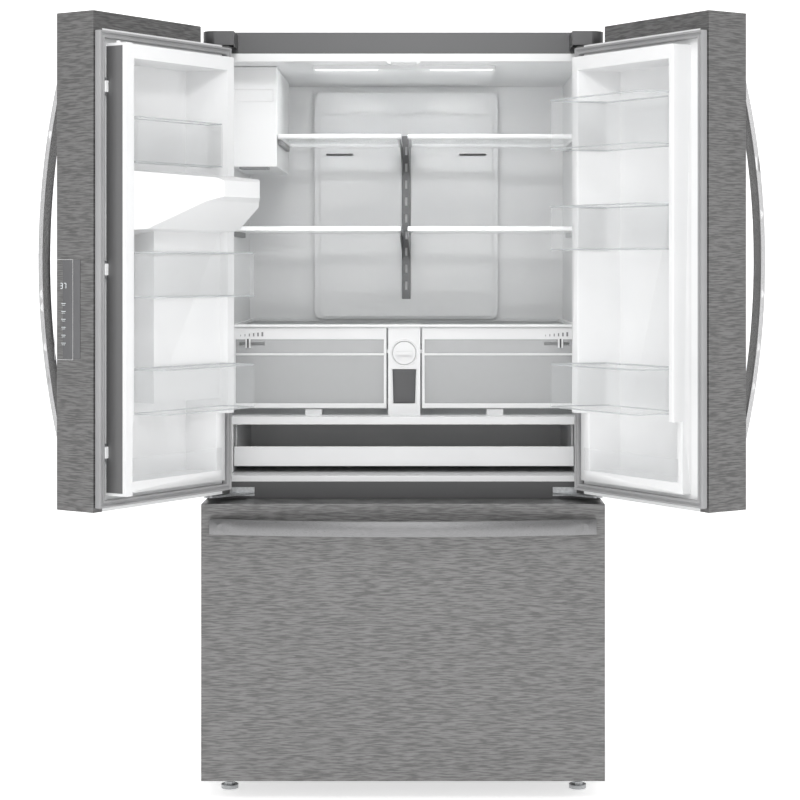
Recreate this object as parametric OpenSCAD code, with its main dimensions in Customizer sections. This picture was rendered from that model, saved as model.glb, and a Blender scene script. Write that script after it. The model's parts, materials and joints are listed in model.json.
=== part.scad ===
// French door refrigerator with a bottom freezer drawer.
// Frame: X to the right seen from the front, Y to the back, Z up from the floor, in millimetres.
// The resting state has both doors swung open and every drawer pushed in.
// Door pieces are drawn on a closed left door, with the hinge pin as their origin: X runs along
// the door from the pin, Y runs into the cabinet, Z is the height above the floor.

/* [Cabinet] */
// Width across the cabinet sides
cab_w = 908; // [860:1:1100]
// Height of the cabinet top above the floor
cab_h = 1745; // [1700:1:2100]
// Depth of the cabinet from its front flange to its back panel
cab_d = 735; // [720:1:890]
// Height of the cabinet underside and of the drawer front above the floor
base_gap = 48; // [40:1:60]
// Thickness of the insulated side walls
side_wall = 42; // [36:1:55]
// Thickness of the insulated roof
roof = 67; // [55:1:80]
// Thickness of the steel sheet
steel_t = 1; // [0.6:0.1:1.5]
// Thickness of the plastic liners
liner_t = 2; // [1.5:0.1:3]

/* [Compartments] */
// Height of the fresh food floor above the floor
room_floor = 722; // [715:1:760]
// Depth of the fresh food compartment
room_d = 655; // [640:1:665]
// Height of the freezer floor above the floor
freezer_floor = 112; // [104:1:118]
// Height of the freezer ceiling above the floor
freezer_ceiling = 640; // [620:1:645]
// Depth of the freezer compartment above the step
freezer_d = 600; // [590:1:610]
// Height of the machine compartment above the cabinet underside
machine_h = 240; // [225:1:260]
// Depth of the machine compartment
machine_d = 235; // [225:1:245]
// Height of the steel rail between the two compartments
mid_rail_h = 55; // [48:1:60]

/* [Doors] */
// Thickness of the doors and of the drawer front
door_t = 103; // [95:1:115]
// Gap between the back of a door and the cabinet flange
seal_gap = 17; // [15:1:20]
// Gap between the two closed doors
center_gap = 10; // [6:1:14]
// Height of the underside of the doors above the floor
door_bottom = 694; // [692:1:698]
// Distance from the cabinet top down to the door top
door_top_drop = 8; // [4:1:10]
// Height of the step cut in the door top for the hinge cover
step_h = 35; // [32:1:38]
// Length of the step cut in the door top, from the hinge pin
step_l = 92; // [86:1:100]
// Distance of the hinge pin from the side of the cabinet
pin_inset = 9; // [8:1:14]
// Distance of the hinge pin behind the front of the door
pin_setback = 45; // [42:1:50]
// Radius of the hinge pins
pin_r = 5; // [4:0.5:6]
// Running clearance round every hinge pin
pin_play = 0.05; // [0.02:0.01:0.09]
// Angle that the doors stand open
open_angle = 123.3; // [110:0.1:124]
// Height of the raised rim on the inside of a door
dike_h = 50; // [40:1:54]
// Thickness of insulation left behind the front of a door
door_foam = 55; // [48:1:60]

/* [Door bins] */
// How far the bins reach into the cabinet from the hinge pin
bin_reach = 182; // [160:1:185]
// Height of a door bin
bin_h = 96; // [80:1:110]
// Wall thickness of bins and drawers
bin_wall = 3; // [2:0.5:4]
// Height above the floor of the lower bins
low_bin_z = 894; // [885:1:900]
// Height above the floor of the middle bin on the left door
mid_bin_z = 1138; // [1130:1:1150]
// Height above the floor of the middle bin on the right door
right_bin_z = 1240; // [1220:1:1250]
// Distance of the top bin of the right door below the door top
top_bin_drop = 277; // [270:1:290]

/* [Mullion] */
// Width of the hinged mullion
mullion_w = 60; // [56:1:64]
// Thickness of the hinged mullion
mullion_t = 20; // [16:1:22]

/* [Shelves] */
// Depth of a glass shelf
shelf_d = 343; // [320:1:360]
// Thickness of a shelf edge trim
shelf_t = 11; // [9:1:13]
// Distance of the upper shelf below the ceiling
shelf_1_drop = 160; // [150:1:170]
// Distance of the lower shelf below the upper one
shelf_2_drop = 218; // [210:1:230]
// Distance of the shelf fronts behind the cabinet flange
shelf_back = 120; // [118:1:130]

/* [Drawers in the fresh food compartment] */
// Height of the underside of the crispers above the floor
crisper_z = 869; // [866:1:872]
// Height of a crisper
crisper_h = 191; // [180:1:192]
// Depth of a crisper
crisper_d = 380; // [340:1:400]
// Width of the filter housing between the crispers
filter_w = 76; // [72:1:80]
// Height of the underside of the pantry drawer above the floor
pantry_z = 737; // [735:1:740]
// Height of the pantry drawer
pantry_h = 96; // [80:1:96]
// Depth of the pantry drawer
pantry_d = 420; // [380:1:440]
// Clearance between a drawer and what it slides past
slide_gap = 1.5; // [1:0.5:3]

/* [Ice maker] */
// Width of the ice maker housing
ice_w = 110; // [100:1:120]
// Height of the ice maker housing
ice_h = 236; // [230:1:240]
// Depth of the ice maker housing
ice_d = 420; // [380:1:440]

/* [Freezer drawer] */
// Height of the drawer front above the floor at its top
drawer_top = 671; // [668:1:674]
// Height of the freezer basket
basket_h = 270; // [240:1:280]
// Depth of the freezer basket
basket_d = 400; // [380:1:410]
// Height of the upper freezer tray
tray_h = 90; // [80:1:95]

/* [Handles] */
// Length of a door handle
handle_l = 770; // [700:1:930]
// How far a door handle stands out at its middle
handle_out = 82; // [70:1:90]
// Width of the handle bars
handle_w = 24; // [20:1:28]
// Thickness of the handle bars
handle_t = 12; // [10:1:14]
// Length of the drawer handle
drawer_handle_l = 866; // [800:1:900]
// Height of the drawer handle bar
drawer_handle_h = 34; // [30:1:36]

/* [Base] */
// Diameter of a levelling foot
foot_d = 40; // [36:1:44]
// Diameter of a rear roller
roller_d = 44; // [40:1:46]
// Outside diameter of the water inlet stub
inlet_d = 19; // [18:0.5:20]

/* [Hidden] */
$fn = 48;

// Colours
steel = [0.60, 0.60, 0.61];
dark_steel = [0.36, 0.36, 0.37];
white = [0.93, 0.93, 0.93];
clear = [0.85, 0.90, 0.93, 0.4];
rubber = [0.45, 0.45, 0.46];
foam_color = [0.95, 0.88, 0.66];
bright = [0.80, 0.80, 0.82];
black = [0.10, 0.10, 0.11];

// Cabinet planes. Depths here run back from the front face of the closed doors.
inlet_l = 22;
half_w = cab_w / 2;
flange_y = door_t + seal_gap;
back_y = flange_y + cab_d;
room_half = half_w - side_wall;
room_top = cab_h - roof;
room_back = flange_y + room_d;
freezer_back = flange_y + freezer_d;
machine_y = back_y - machine_d;
machine_top = base_gap + machine_h;
step_foam = 40;
freezer_step_y = machine_y - step_foam;
freezer_step_z = machine_top + step_foam;
mid_rail_top = room_floor - 13;
mid_rail_bottom = mid_rail_top - mid_rail_h;
lip_h = 18;

// Door planes, measured from the hinge pin of the closed left door
pin_x = half_w - pin_inset;
front_v = -pin_setback;
back_v = door_t - pin_setback;
flange_v = back_v + seal_gap;
hinge_edge = -pin_inset;
free_edge = pin_x - center_gap / 2;
door_top = cab_h - door_top_drop;
door_step = door_top - step_h;
cap_t = 12;
dike_clear = 5;
dike_u0 = pin_x - room_half + dike_clear;
dike_u1 = free_edge - 56;
dike_z0 = room_floor + 6;
dike_z1 = room_top - 8;
dike_v = back_v + dike_h;
pan_v = front_v + door_foam;
dike_low = low_bin_z - 14;

// Mullion: the pivot stands between the seal and the rim of the left door
pivot_u = free_edge - 24;
pivot_v = back_v + 10;
mullion_u0 = pivot_u - 8;
mullion_v0 = flange_v + 0.5;
mullion_z0 = dike_z0;
mullion_z1 = dike_z1;

// Half of the way from the foremost corner of an open door to the back panel
reach_u = pivot_u - (mullion_v0 - pivot_v);
reach_v = mullion_u0 - pivot_u + mullion_w + pivot_v;
reach_y = pin_setback - reach_u * sin(open_angle) + reach_v * cos(open_angle);
front_y = -(back_y + inlet_l + reach_y) / 2;

// Shelves and drawers
shelf_y = flange_y + shelf_back;
shelf_1_z = room_top - shelf_1_drop;
shelf_2_z = shelf_1_z - shelf_2_drop;
crisper_top = crisper_z + crisper_h;
crisper_y = shelf_y + 5;
pantry_y = flange_y + 75;
pantry_top = pantry_z + pantry_h;
glass_t = 4;
surround_t = 7.5;

// Ice maker
ice_x0 = -room_half + 1;
ice_x1 = ice_x0 + ice_w;
ice_y = shelf_y - 5;
ice_z1 = room_top - 1;
ice_z0 = ice_z1 - ice_h;
ice_wall = 3;
ice_mid_x = (ice_x0 + ice_x1) / 2;

// Dispenser in the left door
nose_v = bin_reach + 50;
nose_z1 = ice_z0 - 48;
nose_h = 44;
nose_u0 = ice_mid_x + pin_x - 1;
recess_u0 = 95;
recess_w = 170;
recess_z0 = 950;
recess_z1 = 1290;
recess_v = back_v + 18;
niche_wall = 3;
block_v = recess_v + 14;
block_u0 = dike_u0 + 20;
block_u1 = recess_u0 + recess_w + 22;
block_z0 = low_bin_z + 20;

// Freezer drawer
drawer_bottom = base_gap;
gasket_t = seal_gap - 1.5;
basket_half = room_half - 40;
basket_z = freezer_floor + 18;
tray_z = basket_z + basket_h + 30;
tray_half = room_half - 18;
slide_z = basket_z + 60;
slide_h = 46;

// Handles
handle_u = free_edge - 42;
handle_mid_z = (door_bottom + door_top) / 2 + 2;
drawer_handle_z = drawer_top - 48;

// Machine compartment and cooling
base_plate_t = 3;
shaft_r = 3;
fan_r = 62;

// A plain box from its two corners
module block(x0, x1, y0, y1, z0, z1) {
    translate([x0, y0, z0]) cube([x1 - x0, y1 - y0, z1 - z0]);
}

// Places cabinet pieces, drawn with Y = 0 on the front face of the closed doors
module cabinet_place() {
    translate([0, front_y, 0]) children();
}

// Both sides of a symmetric pair
module both() {
    children();
    mirror([1, 0, 0]) children();
}

// Places a piece of the left door at its resting, open position
module left_place() {
    cabinet_place() translate([-pin_x, pin_setback, 0]) rotate([0, 0, -open_angle]) children();
}

module right_place() {
    mirror([1, 0, 0]) left_place() children();
}

// An open box without a lid: outer corners, wall and floor thickness
module tub(x0, x1, y0, y1, z0, z1, wall) {
    difference() {
        block(x0, x1, y0, y1, z0, z1);
        block(x0 + wall, x1 - wall, y0 + wall, y1 - wall, z0 + wall, z1 + 1);
    }
}

// A plate standing in the XZ plane with rounded corners
module rounded_plate(x0, x1, y0, y1, z0, z1, r) {
    translate([0, y1, 0]) rotate([90, 0, 0]) linear_extrude(y1 - y0) rounded_rect(x0, x1, z0, z1, r);
}

// A rectangle with rounded corners, as squares and circles
module rounded_rect(x0, x1, y0, y1, r) {
    translate([x0 + r, y0]) square([x1 - x0 - 2 * r, y1 - y0]);
    translate([x0, y0 + r]) square([x1 - x0, y1 - y0 - 2 * r]);
    for (x = [x0 + r, x1 - r], y = [y0 + r, y1 - r]) translate([x, y]) circle(r);
}

// ---------- Cabinet ----------

module cabinet_block(inset) {
    block(-half_w + inset, half_w - inset, flange_y + inset, back_y - inset,
        base_gap + inset, cab_h - inset);
}

module fridge_void(grow) {
    block(-room_half - grow, room_half + grow, flange_y - 2, room_back + grow,
        room_floor - grow, room_top + grow);
}

module freezer_void(grow) {
    block(-room_half - grow, room_half + grow, flange_y - 2, freezer_back + grow,
        freezer_step_z - grow, freezer_ceiling + grow);
    block(-room_half - grow, room_half + grow, flange_y - 2, freezer_step_y + grow,
        freezer_floor - grow, freezer_step_z + 1);
}

module machine_void(grow) {
    block(-half_w + steel_t + 20 - grow, half_w - steel_t - 20 + grow, machine_y - grow,
        back_y + 1, base_gap - 1, machine_top + grow);
}

module cabinet_shell() {
    color(dark_steel) cabinet_place() {
        difference() {
            cabinet_block(0);
            difference() {
                cabinet_block(steel_t);
                // the two front rails stay in one piece with the wrap
                block(-half_w, half_w, flange_y, flange_y + 12, mid_rail_bottom, mid_rail_top);
                block(-half_w, half_w, flange_y, flange_y + 12, base_gap, freezer_floor - liner_t - 6);
            }
            fridge_void(liner_t);
            freezer_void(liner_t);
            block(-half_w + steel_t, half_w - steel_t, back_y - steel_t - 1, back_y + 1,
                base_gap - 1, cab_h - steel_t);
            machine_void(0);
        }
    }
}

module cabinet_foam() {
    color(foam_color) cabinet_place() difference() {
        block(-half_w + steel_t, half_w - steel_t, flange_y + steel_t, back_y - steel_t,
            base_gap + steel_t, cab_h - steel_t);
        fridge_void(liner_t);
        freezer_void(liner_t);
        machine_void(0);
        block(-half_w, half_w, flange_y, flange_y + 12, mid_rail_bottom, mid_rail_top);
        block(-half_w, half_w, flange_y, flange_y + 12, base_gap, freezer_floor - liner_t - 6);
    }
}

module rear_panel() {
    color(bright) cabinet_place() {
        block(-half_w + steel_t, half_w - steel_t, back_y - steel_t, back_y,
            machine_top, cab_h - steel_t);
        // the lower cover has slots for the air of the condenser
        difference() {
            block(-half_w + 12, half_w - 12, back_y, back_y + 1.5, base_gap + 6, machine_top + 14);
            for (row = [0:5], side = [-1, 1])
                block(side * 215 - 120, side * 215 + 120, back_y - 1, back_y + 3,
                    base_gap + 80 + 24 * row, base_gap + 88 + 24 * row);
            translate([inlet_x, back_y - 1, inlet_z]) rotate([-90, 0, 0])
                cylinder(r = inlet_r + 1, h = 4);
        }
    }
}

module fridge_liner() {
    color(white) cabinet_place() {
        difference() {
            block(-room_half - liner_t, room_half + liner_t, flange_y, room_back + liner_t,
                room_floor - liner_t, room_top + liner_t);
            fridge_void(0);
        }
        // the lip below the opening and the trim above it lie on the flange
        difference() {
            block(-room_half - liner_t, room_half + liner_t, flange_y - 1, flange_y,
                mid_rail_top, room_top + lip_h);
            fridge_void(0);
        }
    }
}

module freezer_liner() {
    color(white) cabinet_place() {
        difference() {
            freezer_outer();
            freezer_void(0);
        }
        evaporator_cover();
    }
}

module freezer_outer() {
    intersection() {
        freezer_void(liner_t);
        block(-half_w, half_w, flange_y, back_y, 0, cab_h);
    }
}

// Panel across the back of the freezer, with the fan opening and air slots
cover_y = freezer_back - 75;
fan_z = freezer_ceiling - 100;
module evaporator_cover() {
    difference() {
        block(-room_half + 1, room_half - 1, cover_y, cover_y + 3, freezer_step_z + 1,
            freezer_ceiling - 1);
        translate([0, cover_y - 1, fan_z]) rotate([-90, 0, 0]) cylinder(r = fan_r + 4, h = 5);
        for (x = [-3:3]) if (abs(x) > 1)
            block(x * 95 - 30, x * 95 + 30, cover_y - 1, cover_y + 5, freezer_step_z + 12,
                freezer_step_z + 20);
    }
}

// ---------- Inside the fresh food compartment ----------

lamp_half = 215;
lamp_t = 9;
guide_half = 39;
module ceiling_fittings() {
    color(white) cabinet_place() {
        // lamp cover on the ceiling with its two light bars
        translate([0, 0, room_top - lamp_t]) linear_extrude(lamp_t)
            rounded_rect(-lamp_half, lamp_half, flange_y + 100, flange_y + 480, 30);
        both() block(56, 214, flange_y + 88, flange_y + 99.5, room_top - 10, room_top);
        // guide that catches the top of the mullion, open to the front
        difference() {
            translate([0, flange_y + 40, 0]) rotate([90, 0, 0]) linear_extrude(39)
                polygon([[-guide_half, room_top], [-guide_half, room_top - 3],
                    [-guide_half + 10, room_top - 7], [guide_half - 10, room_top - 7],
                    [guide_half, room_top - 3], [guide_half, room_top]]);
            block(-30, 30, flange_y - 1, flange_y + 30, room_top - 8, room_top - 2);
        }
    }
}

duct_half = 240;
duct_top = room_top - 18;
duct_t = 22;
panel_half = 225;
panel_top = room_top - 76;
panel_t = 6;
module air_duct_cover() {
    color(white) cabinet_place() difference() {
        union() {
            rounded_plate(-duct_half, duct_half, room_back - duct_t, room_back,
                crisper_top + 8, duct_top, 20);
            rounded_plate(-panel_half, panel_half, room_back - duct_t - panel_t,
                room_back - duct_t, crisper_top + 14, panel_top, 14);
        }
        block(-panel_half + 6, panel_half - 6, room_back - duct_t + 3, room_back + 1,
            crisper_top + 20, panel_top - 6);
        for (side = [-1, 1]) block(side * 174 - 35, side * 174 + 35,
            room_back - duct_t - panel_t - 1, room_back - duct_t + 4, shelf_1_z - 24, shelf_1_z - 18);
        block(-ladder_half - 1, ladder_half + 1, room_back - duct_t - panel_t - 1, room_back - duct_t,
            ladder_z0, panel_top + 1);
    }
}

// Slotted steel channel on the duct cover, and the arms hooked into it
ladder_half = 11;
ladder_z0 = shelf_2_z - 180;
ladder_z1 = shelf_1_z + 28;
ladder_y = room_back - duct_t;
arm_y0 = shelf_y + 14;
arm_x = 9.5;
module shelf_supports() {
    color(bright) cabinet_place() {
        difference() {
            block(-ladder_half, ladder_half, ladder_y - 8, ladder_y, ladder_z0, ladder_z1);
            block(-ladder_half + 1.5, ladder_half - 1.5, ladder_y - 6.5, ladder_y + 1,
                ladder_z0 + 2, ladder_z1 - 2);
            for (z = [ladder_z0 + 24 : 44 : ladder_z1 - 20])
                block(-3, 3, ladder_y - 9, ladder_y - 5, z, z + 22);
        }
        for (z = [shelf_1_z, shelf_2_z], side = [-1, 1]) shelf_arm(z, side);
        for (z = [shelf_1_z, shelf_2_z], side = [-1, 1]) side_rest(z, side);
    }
}

module shelf_arm(z, side) {
    translate([side * arm_x - 1, 0, 0]) rotate([90, 0, 90]) linear_extrude(2)
        polygon([[arm_y0, z - shelf_t], [ladder_y - 8, z - shelf_t], [ladder_y - 8, z - 75],
            [ladder_y - 60, z - 60], [arm_y0, z - shelf_t - 14]]);
}

// Ledge on the side wall under the outer edge of a shelf
module side_rest(z, side) {
    x0 = side < 0 ? -room_half : room_half - 8;
    if (side > 0 || z != shelf_1_z)
        block(x0, x0 + 8, shelf_y + 20, shelf_y + shelf_d - 20, z - shelf_t - 12, z - shelf_t);
    else
        block(ice_x1, ice_x1 + 8, shelf_y + 20, shelf_y + shelf_d - 20,
            z - shelf_t - 12, z - shelf_t);
}

// The four half shelves: [outer edge, inner edge, height]
shelf_gap = 8;
shelf_edge = 1.5;
shelves = [[ice_x1 + shelf_edge, -shelf_gap, shelf_1_z], [shelf_gap, room_half - shelf_edge, shelf_1_z],
    [-room_half + shelf_edge, -shelf_gap, shelf_2_z], [shelf_gap, room_half - shelf_edge, shelf_2_z]];
shelf_border = 9;
module shelf_trims() {
    color(white) cabinet_place() for (s = shelves) difference() {
        block(s[0], s[1], shelf_y, shelf_y + shelf_d, s[2] - shelf_t, s[2]);
        block(s[0] + shelf_border, s[1] - shelf_border, shelf_y + 14, shelf_y + shelf_d - 14,
            s[2] - shelf_t - 1, s[2] + 1);
        block(s[0] + shelf_border - 4, s[1] - shelf_border + 4, shelf_y + 10,
            shelf_y + shelf_d - 10, s[2] - glass_t, s[2] + 1);
    }
}

module shelf_glass() {
    color(clear) cabinet_place() {
        for (s = shelves)
            block(s[0] + shelf_border - 4, s[1] - shelf_border + 4, shelf_y + 10,
                shelf_y + shelf_d - 10, s[2] - glass_t, s[2]);
        block(-room_half + 12, room_half - 12, shelf_y + 10, room_back - 12,
            cover_z1 - glass_t, cover_z1);
    }
}

// Frame of the glass cover over the crispers, and the divider above the pantry drawer
cover_z1 = crisper_top + surround_t + 0.5;
divider_z1 = crisper_z - 16;
divider_z0 = pantry_top + 2;
module drawer_surrounds() {
    color(white) cabinet_place() {
        difference() {
            block(-room_half + 0.5, room_half - 0.5, shelf_y, room_back - 0.5,
                cover_z1 - surround_t, cover_z1);
            block(-room_half + 16, room_half - 16, shelf_y + 14, room_back - 16,
                cover_z1 - surround_t - 1, cover_z1 + 1);
            block(-room_half + 12, room_half - 12, shelf_y + 10, room_back - 12,
                cover_z1 - glass_t, cover_z1 + 1);
        }
        // side runners that carry the crispers
        both() block(room_half - 8, room_half - 0.5, crisper_y + 6, crisper_y + crisper_d,
            crisper_z + crisper_h - 60, crisper_z + crisper_h - 52);
        difference() {
            block(-room_half + 0.5, room_half - 0.5, pantry_y - 8, room_back - 0.5,
                divider_z0, divider_z1);
            block(-room_half + 12, room_half - 12, pantry_y + 6, room_back - 12,
                divider_z0 - 1, divider_z1 - 4);
        }
        // the side posts carry the divider beside the pantry drawer
        both() block(room_half - 12, room_half - 0.5, pantry_y - 8, pantry_y + pantry_d,
            room_floor + 0.5, divider_z0);
        // two guide blocks under the crispers
        both() block(195, 235, crisper_y + 4, crisper_y + 40, divider_z1, crisper_z - slide_gap);
    }
}

filter_half = filter_w / 2;
filter_z = crisper_z + 131;
filter_r = 27;
module filter_housing() {
    color(white) cabinet_place() {
        difference() {
            block(-filter_half, filter_half, crisper_y, crisper_y + crisper_d, divider_z1,
                cover_z1 - surround_t);
            translate([0, crisper_y - 1, filter_z]) rotate([-90, 0, 0])
                cylinder(r = filter_r + 1, h = 320);
            block(-filter_half + 8, filter_half - 8, crisper_y - 1, crisper_y + 6,
                crisper_z + 11, filter_z - filter_r - 11);
            block(-filter_half + 3, filter_half - 3, crisper_y + 40, crisper_y + crisper_d - 10,
                divider_z1 - 1, filter_z - filter_r - 6);
        }
        both() block(filter_half, filter_half + 5.5, crisper_y + 6, crisper_y + crisper_d,
            crisper_z + crisper_h - 60, crisper_z + crisper_h - 52);
    }
}

module water_filter() {
    color(white) cabinet_place() translate([0, crisper_y + 2, filter_z]) rotate([-90, 0, 0]) {
        cylinder(r = filter_r, h = 26);
        translate([0, 0, 26]) cylinder(r = filter_r - 5, h = 250);
        translate([0, 0, 276]) cylinder(r = 9, h = 24);
        translate([-filter_r + 8, -4, -10]) cube([2 * filter_r - 16, 8, 12]);
    }
}

// A crisper on the right side; the runners slide in grooves below its rim
crisper_x0 = filter_half + 3.5;
crisper_x1 = room_half - 6;
module crisper_right() {
    difference() {
        union() {
            block(crisper_x0, crisper_x1, crisper_y, crisper_y + 4, crisper_z, crisper_top);
            tub(crisper_x0 + 3, crisper_x1 - 3, crisper_y + 3.9, crisper_y + crisper_d,
                crisper_z, crisper_top - 12, bin_wall);
        }
        // window strip that lets the slider be reached
        block(crisper_x1 - 75, crisper_x1 - 15, crisper_y - 1, crisper_y + 8,
            crisper_top - 42, crisper_top - 34);
    }
    // ledges that rest on the runners
    block(crisper_x0 + 0.5, crisper_x0 + 3, crisper_y + 8, crisper_y + crisper_d,
        crisper_top - 51.5, crisper_top - 48);
    block(crisper_x1 - 3, crisper_x1, crisper_y + 8, crisper_y + crisper_d,
        crisper_top - 51.5, crisper_top - 48);
}

module right_crisper() {
    color(clear) cabinet_place() crisper_right();
}

module left_crisper() {
    color(clear) cabinet_place() mirror([1, 0, 0]) crisper_right();
}

// Thumb slider in the window strip
slider_w = 12;
module slider_right() {
    block(crisper_x1 - 30 - slider_w, crisper_x1 - 30, crisper_y - 3, crisper_y - 0.5,
        crisper_top - 48, crisper_top - 26);
    block(crisper_x1 - 30 - slider_w + 3, crisper_x1 - 33, crisper_y - 0.5, crisper_y + 6,
        crisper_top - 41, crisper_top - 35);
}

module right_humidity() {
    color(black) cabinet_place() slider_right();
}

module left_humidity() {
    color(black) cabinet_place() mirror([1, 0, 0]) slider_right();
}

pantry_half = room_half - 14;
pantry_front_h = 46;
module pantry_drawer() {
    color(white) cabinet_place() {
        tub(-pantry_half, pantry_half, pantry_y, pantry_y + pantry_d, pantry_z,
            pantry_z + pantry_front_h, bin_wall);
        both() block(pantry_half - bin_wall, pantry_half, pantry_y + 30, pantry_y + pantry_d,
            pantry_z + pantry_front_h, pantry_top - 2);
        // back wall, higher than the front
        block(-pantry_half, pantry_half, pantry_y + pantry_d - bin_wall, pantry_y + pantry_d,
            pantry_z + pantry_front_h, pantry_top - 2);
    }
}

// ---------- Ice maker ----------

outlet_x = 52;
outlet_y0 = ice_y + 9;
outlet_l = 40;
module ice_housing() {
    color(white) cabinet_place() difference() {
        block(ice_x0, ice_x1, ice_y + 4, ice_y + ice_d, ice_z0, ice_z1);
        block(ice_x0 + ice_wall, ice_x1 - ice_wall, ice_y + 3, ice_y + ice_d - ice_wall,
            ice_z0 + ice_wall, ice_z1 - ice_wall);
        block(ice_mid_x - outlet_x / 2, ice_mid_x + outlet_x / 2, outlet_y0,
            outlet_y0 + outlet_l, ice_z0 - 1, ice_z0 + ice_wall + 1);
    }
}

// Ice bin with the front panel of the housing and its grip recess
ice_gap = 1.5;
auger_z = ice_z0 + 62;
auger_r = 26;
shaft_y1 = ice_y + ice_d - 40;
module ice_bin() {
    color(white) cabinet_place() {
        difference() {
            block(ice_x0, ice_x1, ice_y, ice_y + 3.5, ice_z0, ice_z1);
            block(ice_x0 + 10, ice_x1 - 8, ice_y - 1, ice_y + 1.5, ice_z1 - 82, ice_z1 - 54);
        }
        difference() {
            block(ice_x0 + ice_wall + ice_gap, ice_x1 - ice_wall - ice_gap, ice_y + 3.5,
                shaft_y1 + 10, ice_z0 + ice_wall + ice_gap, ice_z1 - 70);
            block(ice_x0 + ice_wall + 4, ice_x1 - ice_wall - 4, ice_y + 8, shaft_y1 + 6,
                ice_z0 + ice_wall + 5, ice_z1 - 69);
            block(ice_mid_x - outlet_x / 2, ice_mid_x + outlet_x / 2, outlet_y0,
                outlet_y0 + outlet_l, ice_z0 - 1, ice_z0 + ice_wall + 6);
            translate([ice_mid_x, shaft_y1, auger_z]) rotate([-90, 0, 0])
                cylinder(r = shaft_r + pin_play, h = 12);
        }
    }
}

// Auger: a shaft with flat paddles set a third of a turn apart
module ice_auger() {
    color(bright) cabinet_place() translate([ice_mid_x, ice_y + 20, auger_z]) rotate([-90, 0, 0]) {
        cylinder(r = shaft_r, h = shaft_y1 + 14 - ice_y - 20);
        for (i = [0:7]) translate([0, 0, 12 + i * 40]) rotate([0, 0, i * 60])
            translate([-auger_r, -2, 0]) cube([2 * auger_r, 4, 14]);
    }
}

// ---------- Hinges ----------

hinge_plate_t = 4;
top_pin_l = 30;
arm_z = door_step + 8;
low_arm_z = door_bottom - 10;
low_pin_l = 34;
module hinge_brackets() {
    color(bright) cabinet_place() both() {
        // top: an arm over the door step, a flange on the cabinet front and a pin
        difference() {
            union() {
                translate([0, 0, arm_z]) linear_extrude(hinge_plate_t) {
                    translate([-pin_x, pin_setback]) circle(6);
                    polygon([[-pin_x - 4, pin_setback], [-pin_x + 10, pin_setback - 10],
                        [-half_w + 66, flange_y - 3], [-half_w + 4, flange_y - 3]]);
                }
                block(-half_w + 4, -half_w + 66, flange_y - 3.5, flange_y - 1.05,
                    arm_z, door_top - 3.5);
            }
            for (x = [16, 54]) translate([-half_w + x, flange_y - 5, arm_z + 14])
                rotate([-90, 0, 0]) cylinder(r = 2.6, h = 8);
        }
        translate([-pin_x, pin_setback, door_step - top_pin_l])
            cylinder(r = pin_r, h = arm_z + hinge_plate_t - door_step + top_pin_l + 2);
        // bottom: a plate on the middle rail, an arm below the door and a pin
        difference() {
            block(-half_w + 52, -half_w + 110, flange_y - 3, flange_y - 0.05,
                low_arm_z - 8, low_arm_z + 12);
            for (x = [66, 96]) translate([-half_w + x, flange_y - 5, low_arm_z + 6])
                rotate([-90, 0, 0]) cylinder(r = 2.6, h = 8);
        }
        translate([0, 0, low_arm_z - 4]) linear_extrude(hinge_plate_t) {
            translate([-pin_x, pin_setback]) circle(8);
            polygon([[-pin_x - 6, pin_setback], [-pin_x + 12, pin_setback - 8],
                [-half_w + 110, flange_y - 3], [-half_w + 52, flange_y - 3]]);
        }
        translate([-pin_x, pin_setback, low_arm_z - 4])
            cylinder(r = pin_r, h = door_bottom - low_arm_z + 4 + low_pin_l);
    }
}

cover_x1 = -half_w + 72;
cover_y0 = pin_setback - 25;
cover_r = 28;
module hinge_covers() {
    color(dark_steel) cabinet_place() both() difference() {
        translate([0, 0, door_step + 3.5]) linear_extrude(door_top - door_step - 3.5)
            cover_outline(0);
        translate([0, 0, door_step + 2]) linear_extrude(door_top - door_step - 5)
            cover_outline(2.5);
        block(-half_w + 2.5, cover_x1 - 2.5, cover_y0 + cover_r, flange_y, door_step + 2,
            door_top - 3);
    }
}

module cover_outline(inset) {
    translate([-half_w + cover_r, cover_y0 + cover_r]) circle(cover_r - inset);
    translate([-half_w + cover_r, cover_y0 + inset])
        square([cover_x1 + half_w - cover_r - inset, flange_y - cover_y0 - 0.3 - 2 * inset]);
    translate([-half_w + inset, cover_y0 + cover_r])
        square([cover_x1 + half_w - 2 * inset, flange_y - cover_y0 - cover_r - 0.3 - inset]);
}

screw_r = 2.5;
module screw(length) {
    rotate([-90, 0, 0]) {
        cylinder(r = screw_r, h = length);
        translate([0, 0, -2.2]) cylinder(r = 4.6, h = 2.2);
    }
}

module hinge_screws() {
    color(bright) cabinet_place() both() {
        for (x = [16, 54]) translate([-half_w + x, flange_y - 3.5, arm_z + 14]) screw(2.4);
        for (x = [66, 96]) translate([-half_w + x, flange_y - 3, low_arm_z + 6]) screw(2.9);
    }
}

// ---------- Machine compartment, feet and rollers ----------

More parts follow.
